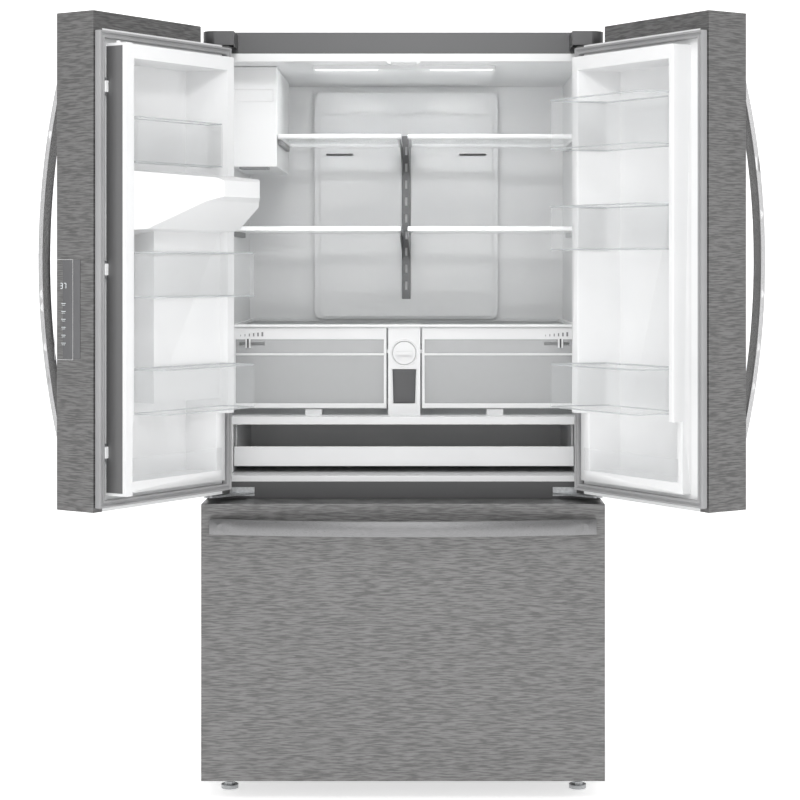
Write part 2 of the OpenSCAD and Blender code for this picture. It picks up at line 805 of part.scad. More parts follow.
comp_x = 180;
comp_r = 78;
cond_x = -60;
cond_fan_x = -210;
fan_y = machine_y + 118;
fan_shaft_z = base_gap + 118;
shroud_t = 30;
roller_x = half_w - 60;
roller_w = 28;
roller_y = back_y - 60;
module machine_base() {
    color(bright) cabinet_place() {
        block(-half_w + 21, half_w - 21, machine_y + 1, back_y - 2, base_gap,
            base_gap + base_plate_t);
        // drip tray over the base, under the condenser
        translate([0, 0, base_gap + base_plate_t])
            tub(cond_x - 95, cond_x + 95, machine_y + 10, back_y - 12, 0, 26, 2);
        // shroud of the condenser fan, with its motor bracket
        difference() {
            block(cond_fan_x - 15, cond_fan_x + 15, machine_y + 20, back_y - 20,
                base_gap + base_plate_t, base_gap + 200);
            translate([cond_fan_x - 16, fan_y, fan_shaft_z]) rotate([0, 90, 0])
                cylinder(r = fan_r + 4, h = shroud_t + 2);
        }
        difference() {
            union() {
                block(cond_fan_x - 47, cond_fan_x - 15, fan_y - 20, fan_y + 20,
                    base_gap + base_plate_t, base_gap + 140);
            }
            translate([cond_fan_x - 48, fan_y, fan_shaft_z]) rotate([0, 90, 0])
                cylinder(r = shaft_r + pin_play, h = 36);
        }
        // forks that hold the rear rollers
        both() difference() {
            block(roller_x - roller_w / 2 - 6, roller_x + roller_w / 2 + 6, roller_y - 16,
                roller_y + 16, roller_d / 2 - 8, base_gap);
            block(roller_x - roller_w / 2 - 1, roller_x + roller_w / 2 + 1, roller_y - 26,
                roller_y + 26, roller_d / 2 - 9, base_gap - 2);
            translate([roller_x - 30, roller_y, roller_d / 2]) rotate([0, 90, 0])
                cylinder(r = shaft_r + pin_play, h = 60);
        }
    }
}

module rear_rollers() {
    color(black) cabinet_place() {
        both() translate([roller_x - roller_w / 2, roller_y, roller_d / 2]) rotate([0, 90, 0]) {
            cylinder(r = roller_d / 2, h = roller_w);
            translate([0, 0, -5.5]) cylinder(r = shaft_r, h = roller_w + 11);
        }
    }
}

module front_feet() {
    color(bright) cabinet_place() both() translate([half_w - 52, flange_y + 12, 0]) {
        cylinder(r = foot_d / 2, h = 9);
        translate([0, 0, 9]) cylinder(r = foot_d / 2 - 8, h = 7, $fn = 6);
        translate([0, 0, 16]) cylinder(r = 6, h = base_gap - 16);
    }
}

module compressor() {
    color(black) cabinet_place() translate([comp_x, machine_y + 120, base_gap + base_plate_t]) {
        translate([0, 0, 12]) {
            cylinder(r = comp_r, h = 104);
            translate([0, 0, 104]) cylinder(r1 = comp_r, r2 = comp_r - 10, h = 20);
            translate([0, 0, 124]) cylinder(r1 = comp_r - 10, r2 = comp_r - 36, h = 16);
        }
        for (a = [45:90:315]) rotate([0, 0, a]) translate([comp_r - 18, 0, 0])
            cylinder(r = 11, h = 14);
    }
}

module condenser() {
    color(black) cabinet_place() {
        for (i = [0:5], j = [0:2])
            translate([cond_x - 80, machine_y + 45 + 34 * i * 150 / 170, base_gap + 60 + 50 * j])
                rotate([0, 90, 0]) cylinder(r = 3, h = 160);
        for (k = [0:12])
            block(cond_x - 78 + 13 * k - 0.5, cond_x - 78 + 13 * k + 0.5, machine_y + 35,
                machine_y + 205, base_gap + 45, base_gap + 175);
        for (x = [cond_x - 84, cond_x + 80])
            block(x, x + 4, machine_y + 30, machine_y + 210, base_gap + base_plate_t + 2,
                base_gap + 185);
    }
}

module fan_wheel(shaft) {
    cylinder(r = 16, h = 14);
    translate([0, 0, 14 - shaft]) cylinder(r = shaft_r, h = shaft);
    for (a = [0:72:288]) rotate([0, 0, a]) translate([12, -1.5, 0]) rotate([30, 0, 0])
        cube([fan_r - 12, 22, 2]);
}

module condenser_fan() {
    color(black) cabinet_place() translate([cond_fan_x - 8, fan_y, fan_shaft_z])
        rotate([0, 90, 0]) fan_wheel(50);
}

evap_y = cover_y + 12;
module evaporator() {
    color(bright) cabinet_place() {
        for (i = [0:4], j = [0:1])
            translate([-260, evap_y + 12 + 24 * j, freezer_step_z + 30 + 24 * i])
                rotate([0, 90, 0]) cylinder(r = 4, h = 520);
        for (k = [0:24])
            block(-252 + 21 * k - 0.4, -252 + 21 * k + 0.4, evap_y, evap_y + 48,
                freezer_step_z + 18, freezer_step_z + 134);
        // motor and bracket of the freezer fan
        difference() {
            block(-26, 26, cover_y + 26, cover_y + 58, fan_z - 26, fan_z + 26);
            translate([0, cover_y + 25, fan_z]) rotate([-90, 0, 0])
                cylinder(r = shaft_r + pin_play, h = 34);
        }
        block(-4, 4, cover_y + 58, freezer_back, fan_z - 26, fan_z + 26);
    }
}

module evaporator_fan() {
    color(white) cabinet_place() translate([0, cover_y + 18, fan_z]) rotate([90, 0, 0])
        fan_wheel(44);
}

inlet_r = inlet_d / 2;
inlet_x = -half_w + 90;
inlet_z = base_gap + 34;
module water_valve() {
    color(white) cabinet_place() {
        translate([inlet_x, back_y - 30, inlet_z]) rotate([-90, 0, 0])
            cylinder(r = inlet_r - 2, h = 33);
        translate([inlet_x, back_y + 2, inlet_z]) rotate([-90, 0, 0])
            cylinder(r = inlet_r, h = inlet_l - 2);
        block(inlet_x - 24, inlet_x + 24, back_y - 70, back_y - 30, inlet_z - 20, inlet_z + 26);
        translate([inlet_x, back_y - 50, inlet_z + 26]) cylinder(r = 15, h = 38);
        block(inlet_x - 24, inlet_x + 24, back_y - 70, back_y - 30, base_gap + base_plate_t,
            inlet_z - 20);
    }
}

// ---------- Doors, drawn closed on the left ----------

edge_flange = 27;
rim_front = 22;
low_dike_v = back_v + 24;

// Door skin: front, side edges and return flanges, with the step for the hinge cover
module door_wrap() {
    difference() {
        block(hinge_edge, free_edge, front_v, back_v, door_bottom, door_top);
        block(hinge_edge + steel_t, free_edge - steel_t, front_v + steel_t, back_v - steel_t,
            door_bottom - 1, door_top + 1);
        block(hinge_edge + edge_flange, free_edge - edge_flange, 0, back_v + 1,
            door_bottom - 1, door_top + 1);
        block(hinge_edge + steel_t, free_edge - steel_t, 0, back_v + 1, door_step, door_top + 1);
        block(hinge_edge - 1, step_l, front_v - 1, back_v + 1, door_step, door_top + 1);
    }
}

// End caps: a plate at each end, and the raised block behind the top of the skin
module door_caps() {
    difference() {
        union() {
            block(hinge_edge + steel_t, free_edge - steel_t, front_v + steel_t,
                back_v - liner_t, door_bottom, door_bottom + cap_t);
            block(hinge_edge + steel_t, free_edge - steel_t, front_v + steel_t,
                back_v - liner_t, door_step - cap_t, door_step);
            block(step_l, free_edge - steel_t, front_v + steel_t, back_v, door_step,
                door_top);
        }
        pin_bores(pin_play);
        block(step_l + 4, free_edge - 6, front_v + 6, back_v - 4, door_step - 1, door_top - 4);
    }
}

module pin_bores(play) {
    cylinder(r = pin_r + play, h = door_bottom + low_pin_l + 1);
    translate([0, 0, door_step - top_pin_l - 1])
        cylinder(r = pin_r + play, h = top_pin_l + 2);
}

// Raised rim inside the door: lower at its foot, where the pantry drawer stands forward
module dike_solid(inset) {
    block(dike_u0 + inset, dike_u1 - inset, back_v - liner_t, dike_v - inset,
        dike_low + inset, dike_z1 - inset);
    block(dike_u0 + inset, dike_u1 - inset, back_v - liner_t, low_dike_v - inset,
        dike_z0 + inset, dike_low + inset + 1);
}

// Hollow between the rims, with sloping side walls
module pan(grow) {
    translate([0, 0, dike_z0 + 24 - grow]) linear_extrude(dike_z1 - dike_z0 - 54 + 2 * grow)
        polygon([[dike_u0 + rim_front - grow, dike_v + 1], [dike_u0 + 50 - grow, pan_v - grow],
            [dike_u1 - 30 + grow, pan_v - grow], [dike_u1 - 14 + grow, dike_v + 1]]);
}

module liner_sheet() {
    block(hinge_edge + edge_flange, free_edge - edge_flange, back_v - liner_t, back_v,
        door_bottom, door_step);
}

// Everything behind the skin: the outside of the liner, or with an inset the foam inside it
module plain_solid(inset) {
    difference() {
        union() {
            block(hinge_edge + steel_t, free_edge - steel_t, front_v + steel_t,
                back_v - liner_t, door_bottom + cap_t, door_step - cap_t);
            if (inset == 0) liner_sheet();
            dike_solid(inset);
        }
        pan(inset);
    }
}

module plain_liner() {
    difference() {
        plain_solid(0);
        plain_solid(liner_t);
    }
}

module plain_foam() {
    difference() {
        plain_solid(liner_t);
        pin_bores(foam_play);
    }
}
foam_play = 3;

module door_seal() {
    translate([0, back_v, 0]) difference() {
        block(seal_u0, seal_u1, 0, gasket_t, seal_z0, seal_z1);
        block(seal_u0 + seal_w, seal_u1 - seal_w, -1, gasket_t + 1, seal_z0 + seal_w,
            seal_z1 - seal_w);
        // groove between the two lips of the profile
        difference() {
            block(seal_u0 + 5, seal_u1 - 5, gasket_t - 4, gasket_t + 1, seal_z0 + 5, seal_z1 - 5);
            block(seal_u0 + 10, seal_u1 - 10, gasket_t - 5, gasket_t + 2, seal_z0 + 10,
                seal_z1 - 10);
        }
    }
}
seal_w = 15;
seal_u0 = hinge_edge + 11;
seal_u1 = free_edge - 4;
seal_z0 = room_floor - 19;
seal_z1 = room_top + lip_h;

// A bowed bar in the YZ plane, its ends at +-length / 2 and its middle at the front
module bow(length, rise, width, thick) {
    r = (length * length / 4 + rise * rise) / (2 * rise);
    intersection() {
        translate([-width / 2, r, 0]) rotate([0, 90, 0]) difference() {
            cylinder(r = r, h = width, $fn = 180);
            translate([0, 0, -1]) cylinder(r = r - thick, h = width + 2, $fn = 180);
        }
        block(-width, width, -1, rise + thick * 2, -length / 2, length / 2);
    }
}

handle_end_out = 26;
post_r = 8;
module door_handle() {
    rise = handle_out - handle_end_out;
    translate([handle_u, front_v - handle_out, handle_mid_z]) {
        bow(handle_l, rise, handle_w, handle_t);
        for (end = [-1, 1]) translate([0, rise - 6, end * (handle_l / 2 - 26)])
            rotate([-90, 0, 0]) cylinder(r = post_r, h = handle_end_out + 6);
    }
}

// Outline of a door bin seen from above: back depth v0, front depth v1
bin_u0 = dike_u0 + rim_front + 1;
bin_u1 = dike_u1 - 16;
module bin_outline(v0, v1, inset) {
    back_in = max(0, (dike_v - v0) * 0.32);
    polygon([[bin_u0 + back_in + inset, v0 + inset], [bin_u0 + inset, dike_v],
        [bin_u0 - 8 + inset, dike_v + 14], [bin_u0 - 4 + inset, v1 - inset],
        [bin_u1 - 12 - inset, v1 - inset], [bin_u1 - inset, dike_v],
        [bin_u1 - back_in * 0.6 - inset, v0 + inset]]);
}

module door_bin(v0, v1, z, h) {
    difference() {
        translate([0, 0, z]) linear_extrude(h) bin_outline(v0, v1, 0);
        translate([0, 0, z + bin_wall]) linear_extrude(h) bin_outline(v0, v1, bin_wall);
    }
}

// Low panel across the foot of the hollow
module foot_panel() {
    block(dike_u0 + 14, dike_u1 - 12, low_dike_v, low_dike_v + 3, dike_z0 + 24, dike_z0 + 74);
}

// ---------- Left door ----------

module niche(grow) {
    block(recess_u0 - grow, recess_u0 + recess_w + grow, front_v - 1, recess_v + grow,
        recess_z0 - grow, recess_z1 + grow);
}

// Ice chute housing: a plan outline met by a side outline
module nose(inset) {
    intersection() {
        translate([0, 0, recess_z1 - 40]) linear_extrude(300) polygon([
            [dike_u0 + 4 + inset, pan_v - liner_t], [dike_u0 + 4 + inset, dike_v + 10],
            [62 + inset, nose_v - 36], [104 + inset * 0.4, nose_v - inset],
            [226 - inset, nose_v - inset], [244 - inset, nose_v - 14],
            [dike_u1 - 6 - inset, dike_v - 8], [dike_u1 - 6 - inset, pan_v - liner_t]]);
        translate([0, 0, 0]) rotate([90, 0, 90]) linear_extrude(free_edge) polygon([
            [pan_v - liner_t, recess_z1 - 20 + inset], [block_v + 36 - inset, recess_z1 - 6 + inset],
            [nose_v - 24, nose_z1 - nose_h + inset - 6], [nose_v - inset, nose_z1 - nose_h + inset + 4],
            [nose_v - inset, nose_z1 - 6 - inset], [nose_v - 10, nose_z1 - inset],
            [pan_v - liner_t, nose_z1 + 22 - inset]]);
    }
}

module recess_block(inset) {
    block(block_u0 + inset, block_u1 - inset, pan_v - liner_t, block_v - inset, block_z0 + inset,
        recess_z1 + 1);
}

// Round chute from the top of the housing down to the niche
chute_r = 24;
top_bin_z = nose_z1 + 30;
chute_u = nose_u0 + 18;
module chute(grow) {
    top = [chute_u, nose_v - 38, nose_z1 + 12];
    low = [recess_u0 + recess_w / 2, 10, recess_z1 - 30];
    d = low - top;
    translate(top) rotate([0, acos(d[2] / norm(d)), atan2(d[1], d[0])])
        translate([0, 0, -10]) cylinder(r = chute_r + grow, h = norm(d) - 10);
}

module left_door_shell() {
    color(steel) left_place() {
        difference() {
            door_wrap();
            niche(niche_wall);
        }
        door_caps();
    }
}

module left_solid(inset) {
    plain_solid(inset);
    recess_block(inset);
    nose(inset);
}

module left_door_foam() {
    color(foam_color) left_place() difference() {
        left_solid(liner_t);
        niche(niche_wall);
        chute(2);
        pin_bores(foam_play);
    }
}

module left_door_liner() {
    color(white) left_place() difference() {
        left_solid(0);
        left_solid(liner_t);
        niche(niche_wall);
        chute(2);
    }
}

module left_door_gasket() {
    color(rubber) left_place() door_seal();
}

module left_door_handle() {
    color(bright) left_place() door_handle();
}

module left_door_bins() {
    color(clear) left_place() {
        door_bin(block_v + 3, bin_reach, low_bin_z, bin_h);
        door_bin(block_v + 3, bin_reach, mid_bin_z, bin_h);
        tub(bin_u0 + 16, bin_u1 - 10, back_v + 2, dike_v, top_bin_z, top_bin_z + bin_h,
            bin_wall);
        foot_panel();
    }
}

paddle_u = recess_u0 + recess_w / 2;
paddle_v = 44;
paddle_z = recess_z1 - 26;
paddle_w = 56;
module dispenser_recess() {
    color(black) left_place() {
        difference() {
            union() {
                niche(niche_wall);
                block(recess_u0 - 10, recess_u0 + recess_w + 10, front_v - 2.5, front_v,
                    recess_z0 - 10, recess_z1 + 110);
            }
            niche(0);
            block(recess_u0, recess_u0 + recess_w, front_v - 5, front_v + 1, recess_z0, recess_z1);
            chute(0);
        }
        // funnel round the chute where the ice drops out
        difference() {
            translate([paddle_u, 8, recess_z1 - 34]) cylinder(r = chute_r + 6, h = 34);
            translate([paddle_u, 8, recess_z1 - 35]) cylinder(r = chute_r + 2, h = 36);
        }
        // ears of the paddle pivot
        for (side = [-1, 1]) difference() {
            block(paddle_u + side * 36 - 3, paddle_u + side * 36 + 3, paddle_v - 6,
                paddle_v + 6, paddle_z - 7, recess_z1);
            translate([paddle_u + side * 36 - 4, paddle_v, paddle_z]) rotate([0, 90, 0])
                cylinder(r = 2.5 + pin_play, h = 8);
        }
        // drip tray with a ribbed grille
        difference() {
            block(recess_u0 + 8, recess_u0 + recess_w - 8, front_v + 4, recess_v - 6,
                recess_z0, recess_z0 + 12);
            for (i = [0:8]) block(recess_u0 + 16, recess_u0 + recess_w - 16,
                front_v + 10 + 11 * i, front_v + 15 + 11 * i, recess_z0 + 3, recess_z0 + 13);
        }
    }
}

module dispenser_paddle() {
    color(dark_steel) left_place() {
        translate([paddle_u - 38.5, paddle_v, paddle_z]) rotate([0, 90, 0])
            cylinder(r = 2.5, h = 77);
        block(paddle_u - paddle_w / 2, paddle_u + paddle_w / 2, paddle_v - 3, paddle_v + 1,
            paddle_z - 130, paddle_z + 2);
    }
}

panel_z = door_bottom + 318;
module control_panel() {
    color(black) left_place()
        block(free_edge, free_edge + 0.8, front_v + 18, front_v + 67, panel_z, panel_z + 207);
}

// Turns the mullion, drawn across the door gap, to its folded place
module folded() {
    translate([pivot_u, pivot_v, 0]) rotate([0, 0, 90])
        translate([-pivot_u, -pivot_v, 0]) children();
}

knuckle_h = 24;
knuckle_r = 4;
knuckle_z = [mullion_z0 + 90, (mullion_z0 + mullion_z1) / 2, mullion_z1 - 90];
module mullion_bar() {
    color(white) left_place() folded() {
        difference() {
            union() {
                block(mullion_u0, mullion_u0 + mullion_w, mullion_v0, mullion_v0 + mullion_t,
                    mullion_z0, mullion_z1);
                for (z = knuckle_z) {
                    translate([pivot_u, pivot_v, z - knuckle_h / 2])
                        cylinder(r = knuckle_r, h = knuckle_h);
                    block(pivot_u - knuckle_r, pivot_u + knuckle_r, pivot_v, mullion_v0 + 1,
                        z - knuckle_h / 2, z + knuckle_h / 2);
                }
                // peg that enters the guide on the ceiling
                translate([mullion_u0 + mullion_w / 2, mullion_v0 + mullion_t / 2, mullion_z1])
                    cylinder(r = 5, h = 5);
            }
            for (z = knuckle_z) translate([pivot_u, pivot_v, z - knuckle_h / 2 - 1])
                cylinder(r = 2 + pin_play, h = knuckle_h + 2);
        }
    }
}

module mullion_hinges() {
    color(bright) left_place() for (z = knuckle_z) {
        translate([pivot_u, pivot_v, z - knuckle_h / 2 - 6]) cylinder(r = 2, h = knuckle_h + 12);
        for (side = [-1, 1])
            translate([0, 0, z + side * (knuckle_h / 2 + 3.5)])
                block(pivot_u - 4, pivot_u + 4, back_v, pivot_v + 3, -3, 3);
    }
}

// ---------- Right door ----------

module right_door_shell() {
    color(steel) right_place() {
        door_wrap();
        door_caps();
    }
}

module right_door_foam() {
    color(foam_color) right_place() plain_foam();
}

module right_door_liner() {
    color(white) right_place() plain_liner();
}

module right_door_gasket() {
    color(rubber) right_place() door_seal();
}

module right_door_handle() {
    color(bright) right_place() door_handle();
}

module right_door_bins() {
    color(clear) right_place() {
        door_bin(pan_v + 30, bin_reach, low_bin_z, bin_h);
        door_bin(pan_v + 30, bin_reach, right_bin_z, bin_h);
        door_bin(pan_v + 30, bin_reach, door_top - top_bin_drop, bin_h + 14);
        foot_panel();
    }
}

// ---------- Freezer drawer ----------

drawer_back = door_t;
module drawer_skin() {
    color(steel) cabinet_place() difference() {
        block(-half_w, half_w, 0, drawer_back, drawer_bottom, drawer_top);
        block(-half_w + steel_t, half_w - steel_t, steel_t, drawer_back - steel_t,
            drawer_bottom + steel_t, drawer_top - steel_t);
        block(-half_w + edge_flange, half_w - edge_flange, steel_t, drawer_back + 1,
            drawer_bottom + edge_flange, drawer_top - edge_flange);
    }
}

module drawer_foam() {
    color(foam_color) cabinet_place()
        block(-half_w + steel_t, half_w - steel_t, steel_t, drawer_back - liner_t,
            drawer_bottom + steel_t, drawer_top - steel_t);
}

bulge_t = 30;
module drawer_liner() {
    color(white) cabinet_place() {
        block(-half_w + edge_flange, half_w - edge_flange, drawer_back - liner_t, drawer_back,
            drawer_bottom + edge_flange, drawer_top - edge_flange);
        difference() {
            block(-room_half + 14, room_half - 14, drawer_back, drawer_back + bulge_t,
                freezer_floor + 8, freezer_ceiling - 8);
            block(-room_half + 34, room_half - 34, drawer_back + 2, drawer_back + bulge_t + 1,
                freezer_floor + 28, freezer_ceiling - 28);
        }
    }
}

module drawer_gasket() {
    color(rubber) cabinet_place() difference() {
        block(-half_w + 12, half_w - 12, drawer_back, drawer_back + gasket_t,
            freezer_floor - 20, freezer_ceiling + 20);
        block(-half_w + 12 + seal_w, half_w - 12 - seal_w, drawer_back - 1,
            drawer_back + gasket_t + 1, freezer_floor - 20 + seal_w, freezer_ceiling + 20 - seal_w);
    }
}

module drawer_handle() {
    rise = handle_out - 10 - handle_end_out;
    color(bright) cabinet_place() translate([0, 10 - handle_out, drawer_handle_z]) {
        rotate([0, 90, 0]) bow(drawer_handle_l, rise, drawer_handle_h, handle_t);
        for (end = [-1, 1]) translate([end * (drawer_handle_l / 2 - 26), rise - 6, 0])
            rotate([-90, 0, 0]) cylinder(r = post_r, h = handle_end_out + 6);
    }
}

slide_t = 7.5;
slide_y0 = flange_y + 16;
slide_y1 = freezer_step_y - 8;
slide_x = room_half - 0.5;
module slide_outers() {
    color(bright) cabinet_place() both() {
        block(slide_x - 11, slide_x, slide_y0, slide_y1, slide_z, slide_z + slide_h);
        block(slide_x - 24, slide_x, slide_y0, slide_y1 - 10, tray_z - 10, tray_z - 0.5);
    }
}

module slide_middles() {
    color(bright) cabinet_place() both()
        block(slide_x - 11.5 - slide_t, slide_x - 11.5, slide_y0, slide_y1 - 10,
            slide_z + 5, slide_z + slide_h - 5);
}

module drawer_frame() {
    inner = slide_x - 12 - slide_t;
    color(bright) cabinet_place() {
        both() block(inner - slide_t, inner, drawer_back + bulge_t, slide_y1 - 20,
            slide_z + 9, slide_z + slide_h - 9);
        both() block(inner - slide_t - 16, inner - slide_t, drawer_back + bulge_t,
            drawer_back + bulge_t + 4, basket_z, slide_z + slide_h);
        // ledges under the basket rim
        both() block(basket_half + 0.5, inner - slide_t, drawer_back + bulge_t + 4,
            slide_y1 - 20, slide_z + slide_h - 13, slide_z + slide_h - 10);
    }
}

module freezer_basket() {
    color(white) cabinet_place() {
        tub(-basket_half, basket_half, drawer_back + bulge_t + 6, drawer_back + bulge_t + 6 + basket_d,
            basket_z, basket_z + basket_h, bin_wall);
        both() block(basket_half, basket_half + 8, drawer_back + bulge_t + 6,
            drawer_back + bulge_t + 6 + basket_d, slide_z + slide_h - 9.5, slide_z + slide_h - 5);
    }
}

module freezer_tray() {
    color(white) cabinet_place()
        tub(-tray_half, tray_half, flange_y + 24, flange_y + 24 + basket_d, tray_z,
            tray_z + tray_h, bin_wall);
}

cabinet_shell();
rear_panel();
cabinet_foam();
fridge_liner();
freezer_liner();
ceiling_fittings();
air_duct_cover();
shelf_supports();
shelf_trims();
shelf_glass();
drawer_surrounds();
filter_housing();
water_filter();
ice_housing();
ice_bin();
ice_auger();
hinge_brackets();
hinge_covers();
hinge_screws();
machine_base();
compressor();
condenser();
condenser_fan();
evaporator();
evaporator_fan();
water_valve();
front_feet();
rear_rollers();
left_door_shell();
left_door_foam();
left_door_liner();
left_door_gasket();
left_door_handle();
left_door_bins();
dispenser_recess();
dispenser_paddle();
control_panel();
mullion_bar();
mullion_hinges();
right_door_shell();
right_door_foam();
right_door_liner();
right_door_gasket();
right_door_handle();
right_door_bins();
drawer_skin();
drawer_foam();
drawer_liner();
drawer_gasket();
drawer_handle();
drawer_frame();
freezer_basket();
freezer_tray();
slide_outers();
slide_middles();
left_crisper();
right_crisper();
left_humidity();
right_humidity();
pantry_drawer();
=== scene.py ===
# %% [markdown]
# # A french door refrigerator with its doors open
# The cabinet, doors, shelves and drawers already exist as measured parts. This file loads them,
# gives every surface its finish, and adds the fine pieces that a measured model leaves out:
# light diffusers, display marks, drawer rails, bin rims and shelf fronts. Everything is in metres.

# %% Load the frame
import json
import math
import bpy
import numpy as np
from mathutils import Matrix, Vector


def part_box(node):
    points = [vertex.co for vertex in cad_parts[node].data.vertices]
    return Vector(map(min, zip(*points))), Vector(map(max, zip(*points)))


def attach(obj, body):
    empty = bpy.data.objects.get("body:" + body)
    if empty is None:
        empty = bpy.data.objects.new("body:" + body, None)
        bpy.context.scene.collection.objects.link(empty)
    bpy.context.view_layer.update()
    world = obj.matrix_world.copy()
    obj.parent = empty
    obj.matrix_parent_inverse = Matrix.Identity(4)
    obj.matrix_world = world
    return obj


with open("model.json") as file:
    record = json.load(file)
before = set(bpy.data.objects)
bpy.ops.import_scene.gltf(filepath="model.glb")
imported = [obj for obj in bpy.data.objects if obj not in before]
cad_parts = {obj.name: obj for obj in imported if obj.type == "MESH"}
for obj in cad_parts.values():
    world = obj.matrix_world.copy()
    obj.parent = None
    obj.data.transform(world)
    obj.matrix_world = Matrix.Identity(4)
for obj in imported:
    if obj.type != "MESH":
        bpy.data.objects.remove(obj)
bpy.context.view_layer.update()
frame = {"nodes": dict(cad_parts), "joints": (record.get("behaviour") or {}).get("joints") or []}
nodes = frame["nodes"]

# %% [markdown]
# ## Places
# Positions are read from the parts themselves. The doors stand open at an angle, so a small
# function turns door coordinates (u along the door from its hinge pin, v towards the inside,
# z up) into the frame's X, Y and Z. The angle comes from the hinge's own limit.

# %% Places and the door's own coordinates
def corners(node):
    """Lowest and highest corner of a part as two numpy arrays."""
    low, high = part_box(node)
    return np.array(low[:]), np.array(high[:])

joints = {j["name"]: j for j in frame["joints"]}
pin = joints["left_door_hinge"]["pos_m"]
swing = math.radians(-joints["left_door_hinge"]["range_deg"][0])
u_axis = np.array([math.cos(swing), -math.sin(swing), 0.0])
v_axis = np.array([math.sin(swing), math.cos(swing), 0.0])
front_y = float(corners("drawer_skin")[0][1])

def door_points(points, side):
    """Door coordinates in, frame coordinates out: pin + u * u_axis + v * v_axis + z.
    The right door is the same with X turned about."""
    p = np.asarray(points, float)
    q = p[..., :1] * u_axis + p[..., 1:2] * v_axis
    q = q + np.array([pin[0], pin[1], 0.0])
    q[..., 2] = p[..., 2]
    if side == "right":
        q[..., 0] *= -1
    return q

print("front plane y", round(front_y, 4), "door swing", round(math.degrees(swing), 1))

# %% [markdown]
# ## Mesh helpers
# A surface here is a grid of points: two parameters run over it, and every point is worked out
# at once with numpy. One helper turns a grid into a mesh, the other carries a closed profile
# along a path. Both number the faces so that they look outwards.

# %% Grid and sweep helpers
def new_object(name, verts, faces):
    """A mesh object from arrays of points and faces, standing at the origin."""
    mesh = bpy.data.meshes.new(name)
    mesh.from_pydata(np.asarray(verts).reshape(-1, 3).tolist(), [], np.asarray(faces).tolist())
    mesh.update()
    obj = bpy.data.objects.new(name, mesh)
    bpy.context.scene.collection.objects.link(obj)
    return obj

def grid_faces(rows, cols, wrap_rows=False, wrap_cols=False, first=0):
    """Quads between neighbours of a rows x cols grid, closed round where asked."""
    r = np.arange(rows if wrap_rows else rows - 1)
    c = np.arange(cols if wrap_cols else cols - 1)
    rr, cc = np.meshgrid(r, c, indexing="ij")
    r2, c2 = (rr + 1) % rows, (cc + 1) % cols
    quads = np.stack([rr * cols + cc, rr * cols + c2, r2 * cols + c2, r2 * cols + cc], -1)
    return quads.reshape(-1, 4) + first

def boxes(name, lows, highs, side=None):
    """Many small boxes in one mesh: each is the eight corners low + (high - low) * (0 or 1).
    With a side given, the corners are door coordinates."""
    lows, highs = np.atleast_2d(lows), np.atleast_2d(highs)
    bits = np.array([[i & 1, i >> 1 & 1, i >> 2 & 1] for i in range(8)], float)
    pts = lows[:, None, :] + (highs - lows)[:, None, :] * bits[None]
    sides = np.array([[0, 2, 3, 1], [4, 5, 7, 6], [0, 1, 5, 4], [2, 6, 7, 3], [0, 4, 6, 2],
                      [1, 3, 7, 5]])
    faces = sides[None] + 8 * np.arange(len(lows))[:, None, None]
    if side:
        pts = door_points(pts, side)
    if side == "right":
        faces = faces[..., ::-1]
    return new_object(name, pts, faces.reshape(-1, 4))

def finish_piece(obj, body, material, bevel=0.0, segments=3, smooth=True):
    """Bevel, shading, material and the body that the piece moves with."""
    if bevel:
        cut = obj.modifiers.new("edge", "BEVEL")
        cut.width = bevel
        cut.segments = segments
        cut.limit_method = "ANGLE"
        cut.angle_limit = math.radians(35)
        cut.harden_normals = False
    obj.data.materials.clear()
    obj.data.materials.append(material)
    if smooth:
        obj.data.polygons.foreach_set("use_smooth", np.ones(len(obj.data.polygons), bool))
        obj.data.set_sharp_from_angle(angle=math.radians(35))
    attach(obj, body)
    return obj

# %% [markdown]
# ## Finishes
# Brushed steel shows lines along one direction: a noise squeezed twelve times in height drives
# the colour, the roughness and a tiny bump. The plastics get a faint orange peel, and the clear
# bins are a glossy surface with a low alpha and slightly uneven gloss.

# %% Node helpers
def shader(name):
    """A new material and the pieces of its node tree that the finishes use."""
    mat = bpy.data.materials.new(name)
    mat.use_nodes = True
    tree = mat.node_tree
    return mat, tree, tree.nodes["Principled BSDF"]

def object_noise(tree, stretch, scale, detail=3.0):
    """Noise on the piece's own coordinates, stretched by a factor along each axis."""
    coord = tree.nodes.new("ShaderNodeTexCoord")
    mapping = tree.nodes.new("ShaderNodeMapping")
    mapping.inputs["Scale"].default_value = stretch
    noise = tree.nodes.new("ShaderNodeTexNoise")
    noise.inputs["Scale"].default_value = scale
    noise.inputs["Detail"].default_value = detail
    tree.links.new(coord.outputs["Object"], mapping.inputs["Vector"])
    tree.links.new(mapping.outputs["Vector"], noise.inputs["Vector"])
    return noise

def ramp(tree, source, low, high, low_at=0.3, high_at=0.7):
    """A soft step between two greys or colours, driven by a noise."""
    node = tree.nodes.new("ShaderNodeValToRGB")
    node.color_ramp.elements[0].position = low_at
    node.color_ramp.elements[1].position = high_at
    node.color_ramp.elements[0].color = (*low, 1) if len(low) == 3 else low
    node.color_ramp.elements[1].color = (*high, 1) if len(high) == 3 else high
    tree.links.new(source.outputs["Fac"], node.inputs["Fac"])
    return node

def bump(tree, bsdf, source, strength, distance):
    """Turns a noise into a shallow relief."""
    node = tree.nodes.new("ShaderNodeBump")
    node.inputs["Strength"].default_value = strength
    node.inputs["Distance"].default_value = distance
    tree.links.new(source.outputs["Fac"], node.inputs["Height"])
    tree.links.new(node.outputs["Normal"], bsdf.inputs["Normal"])

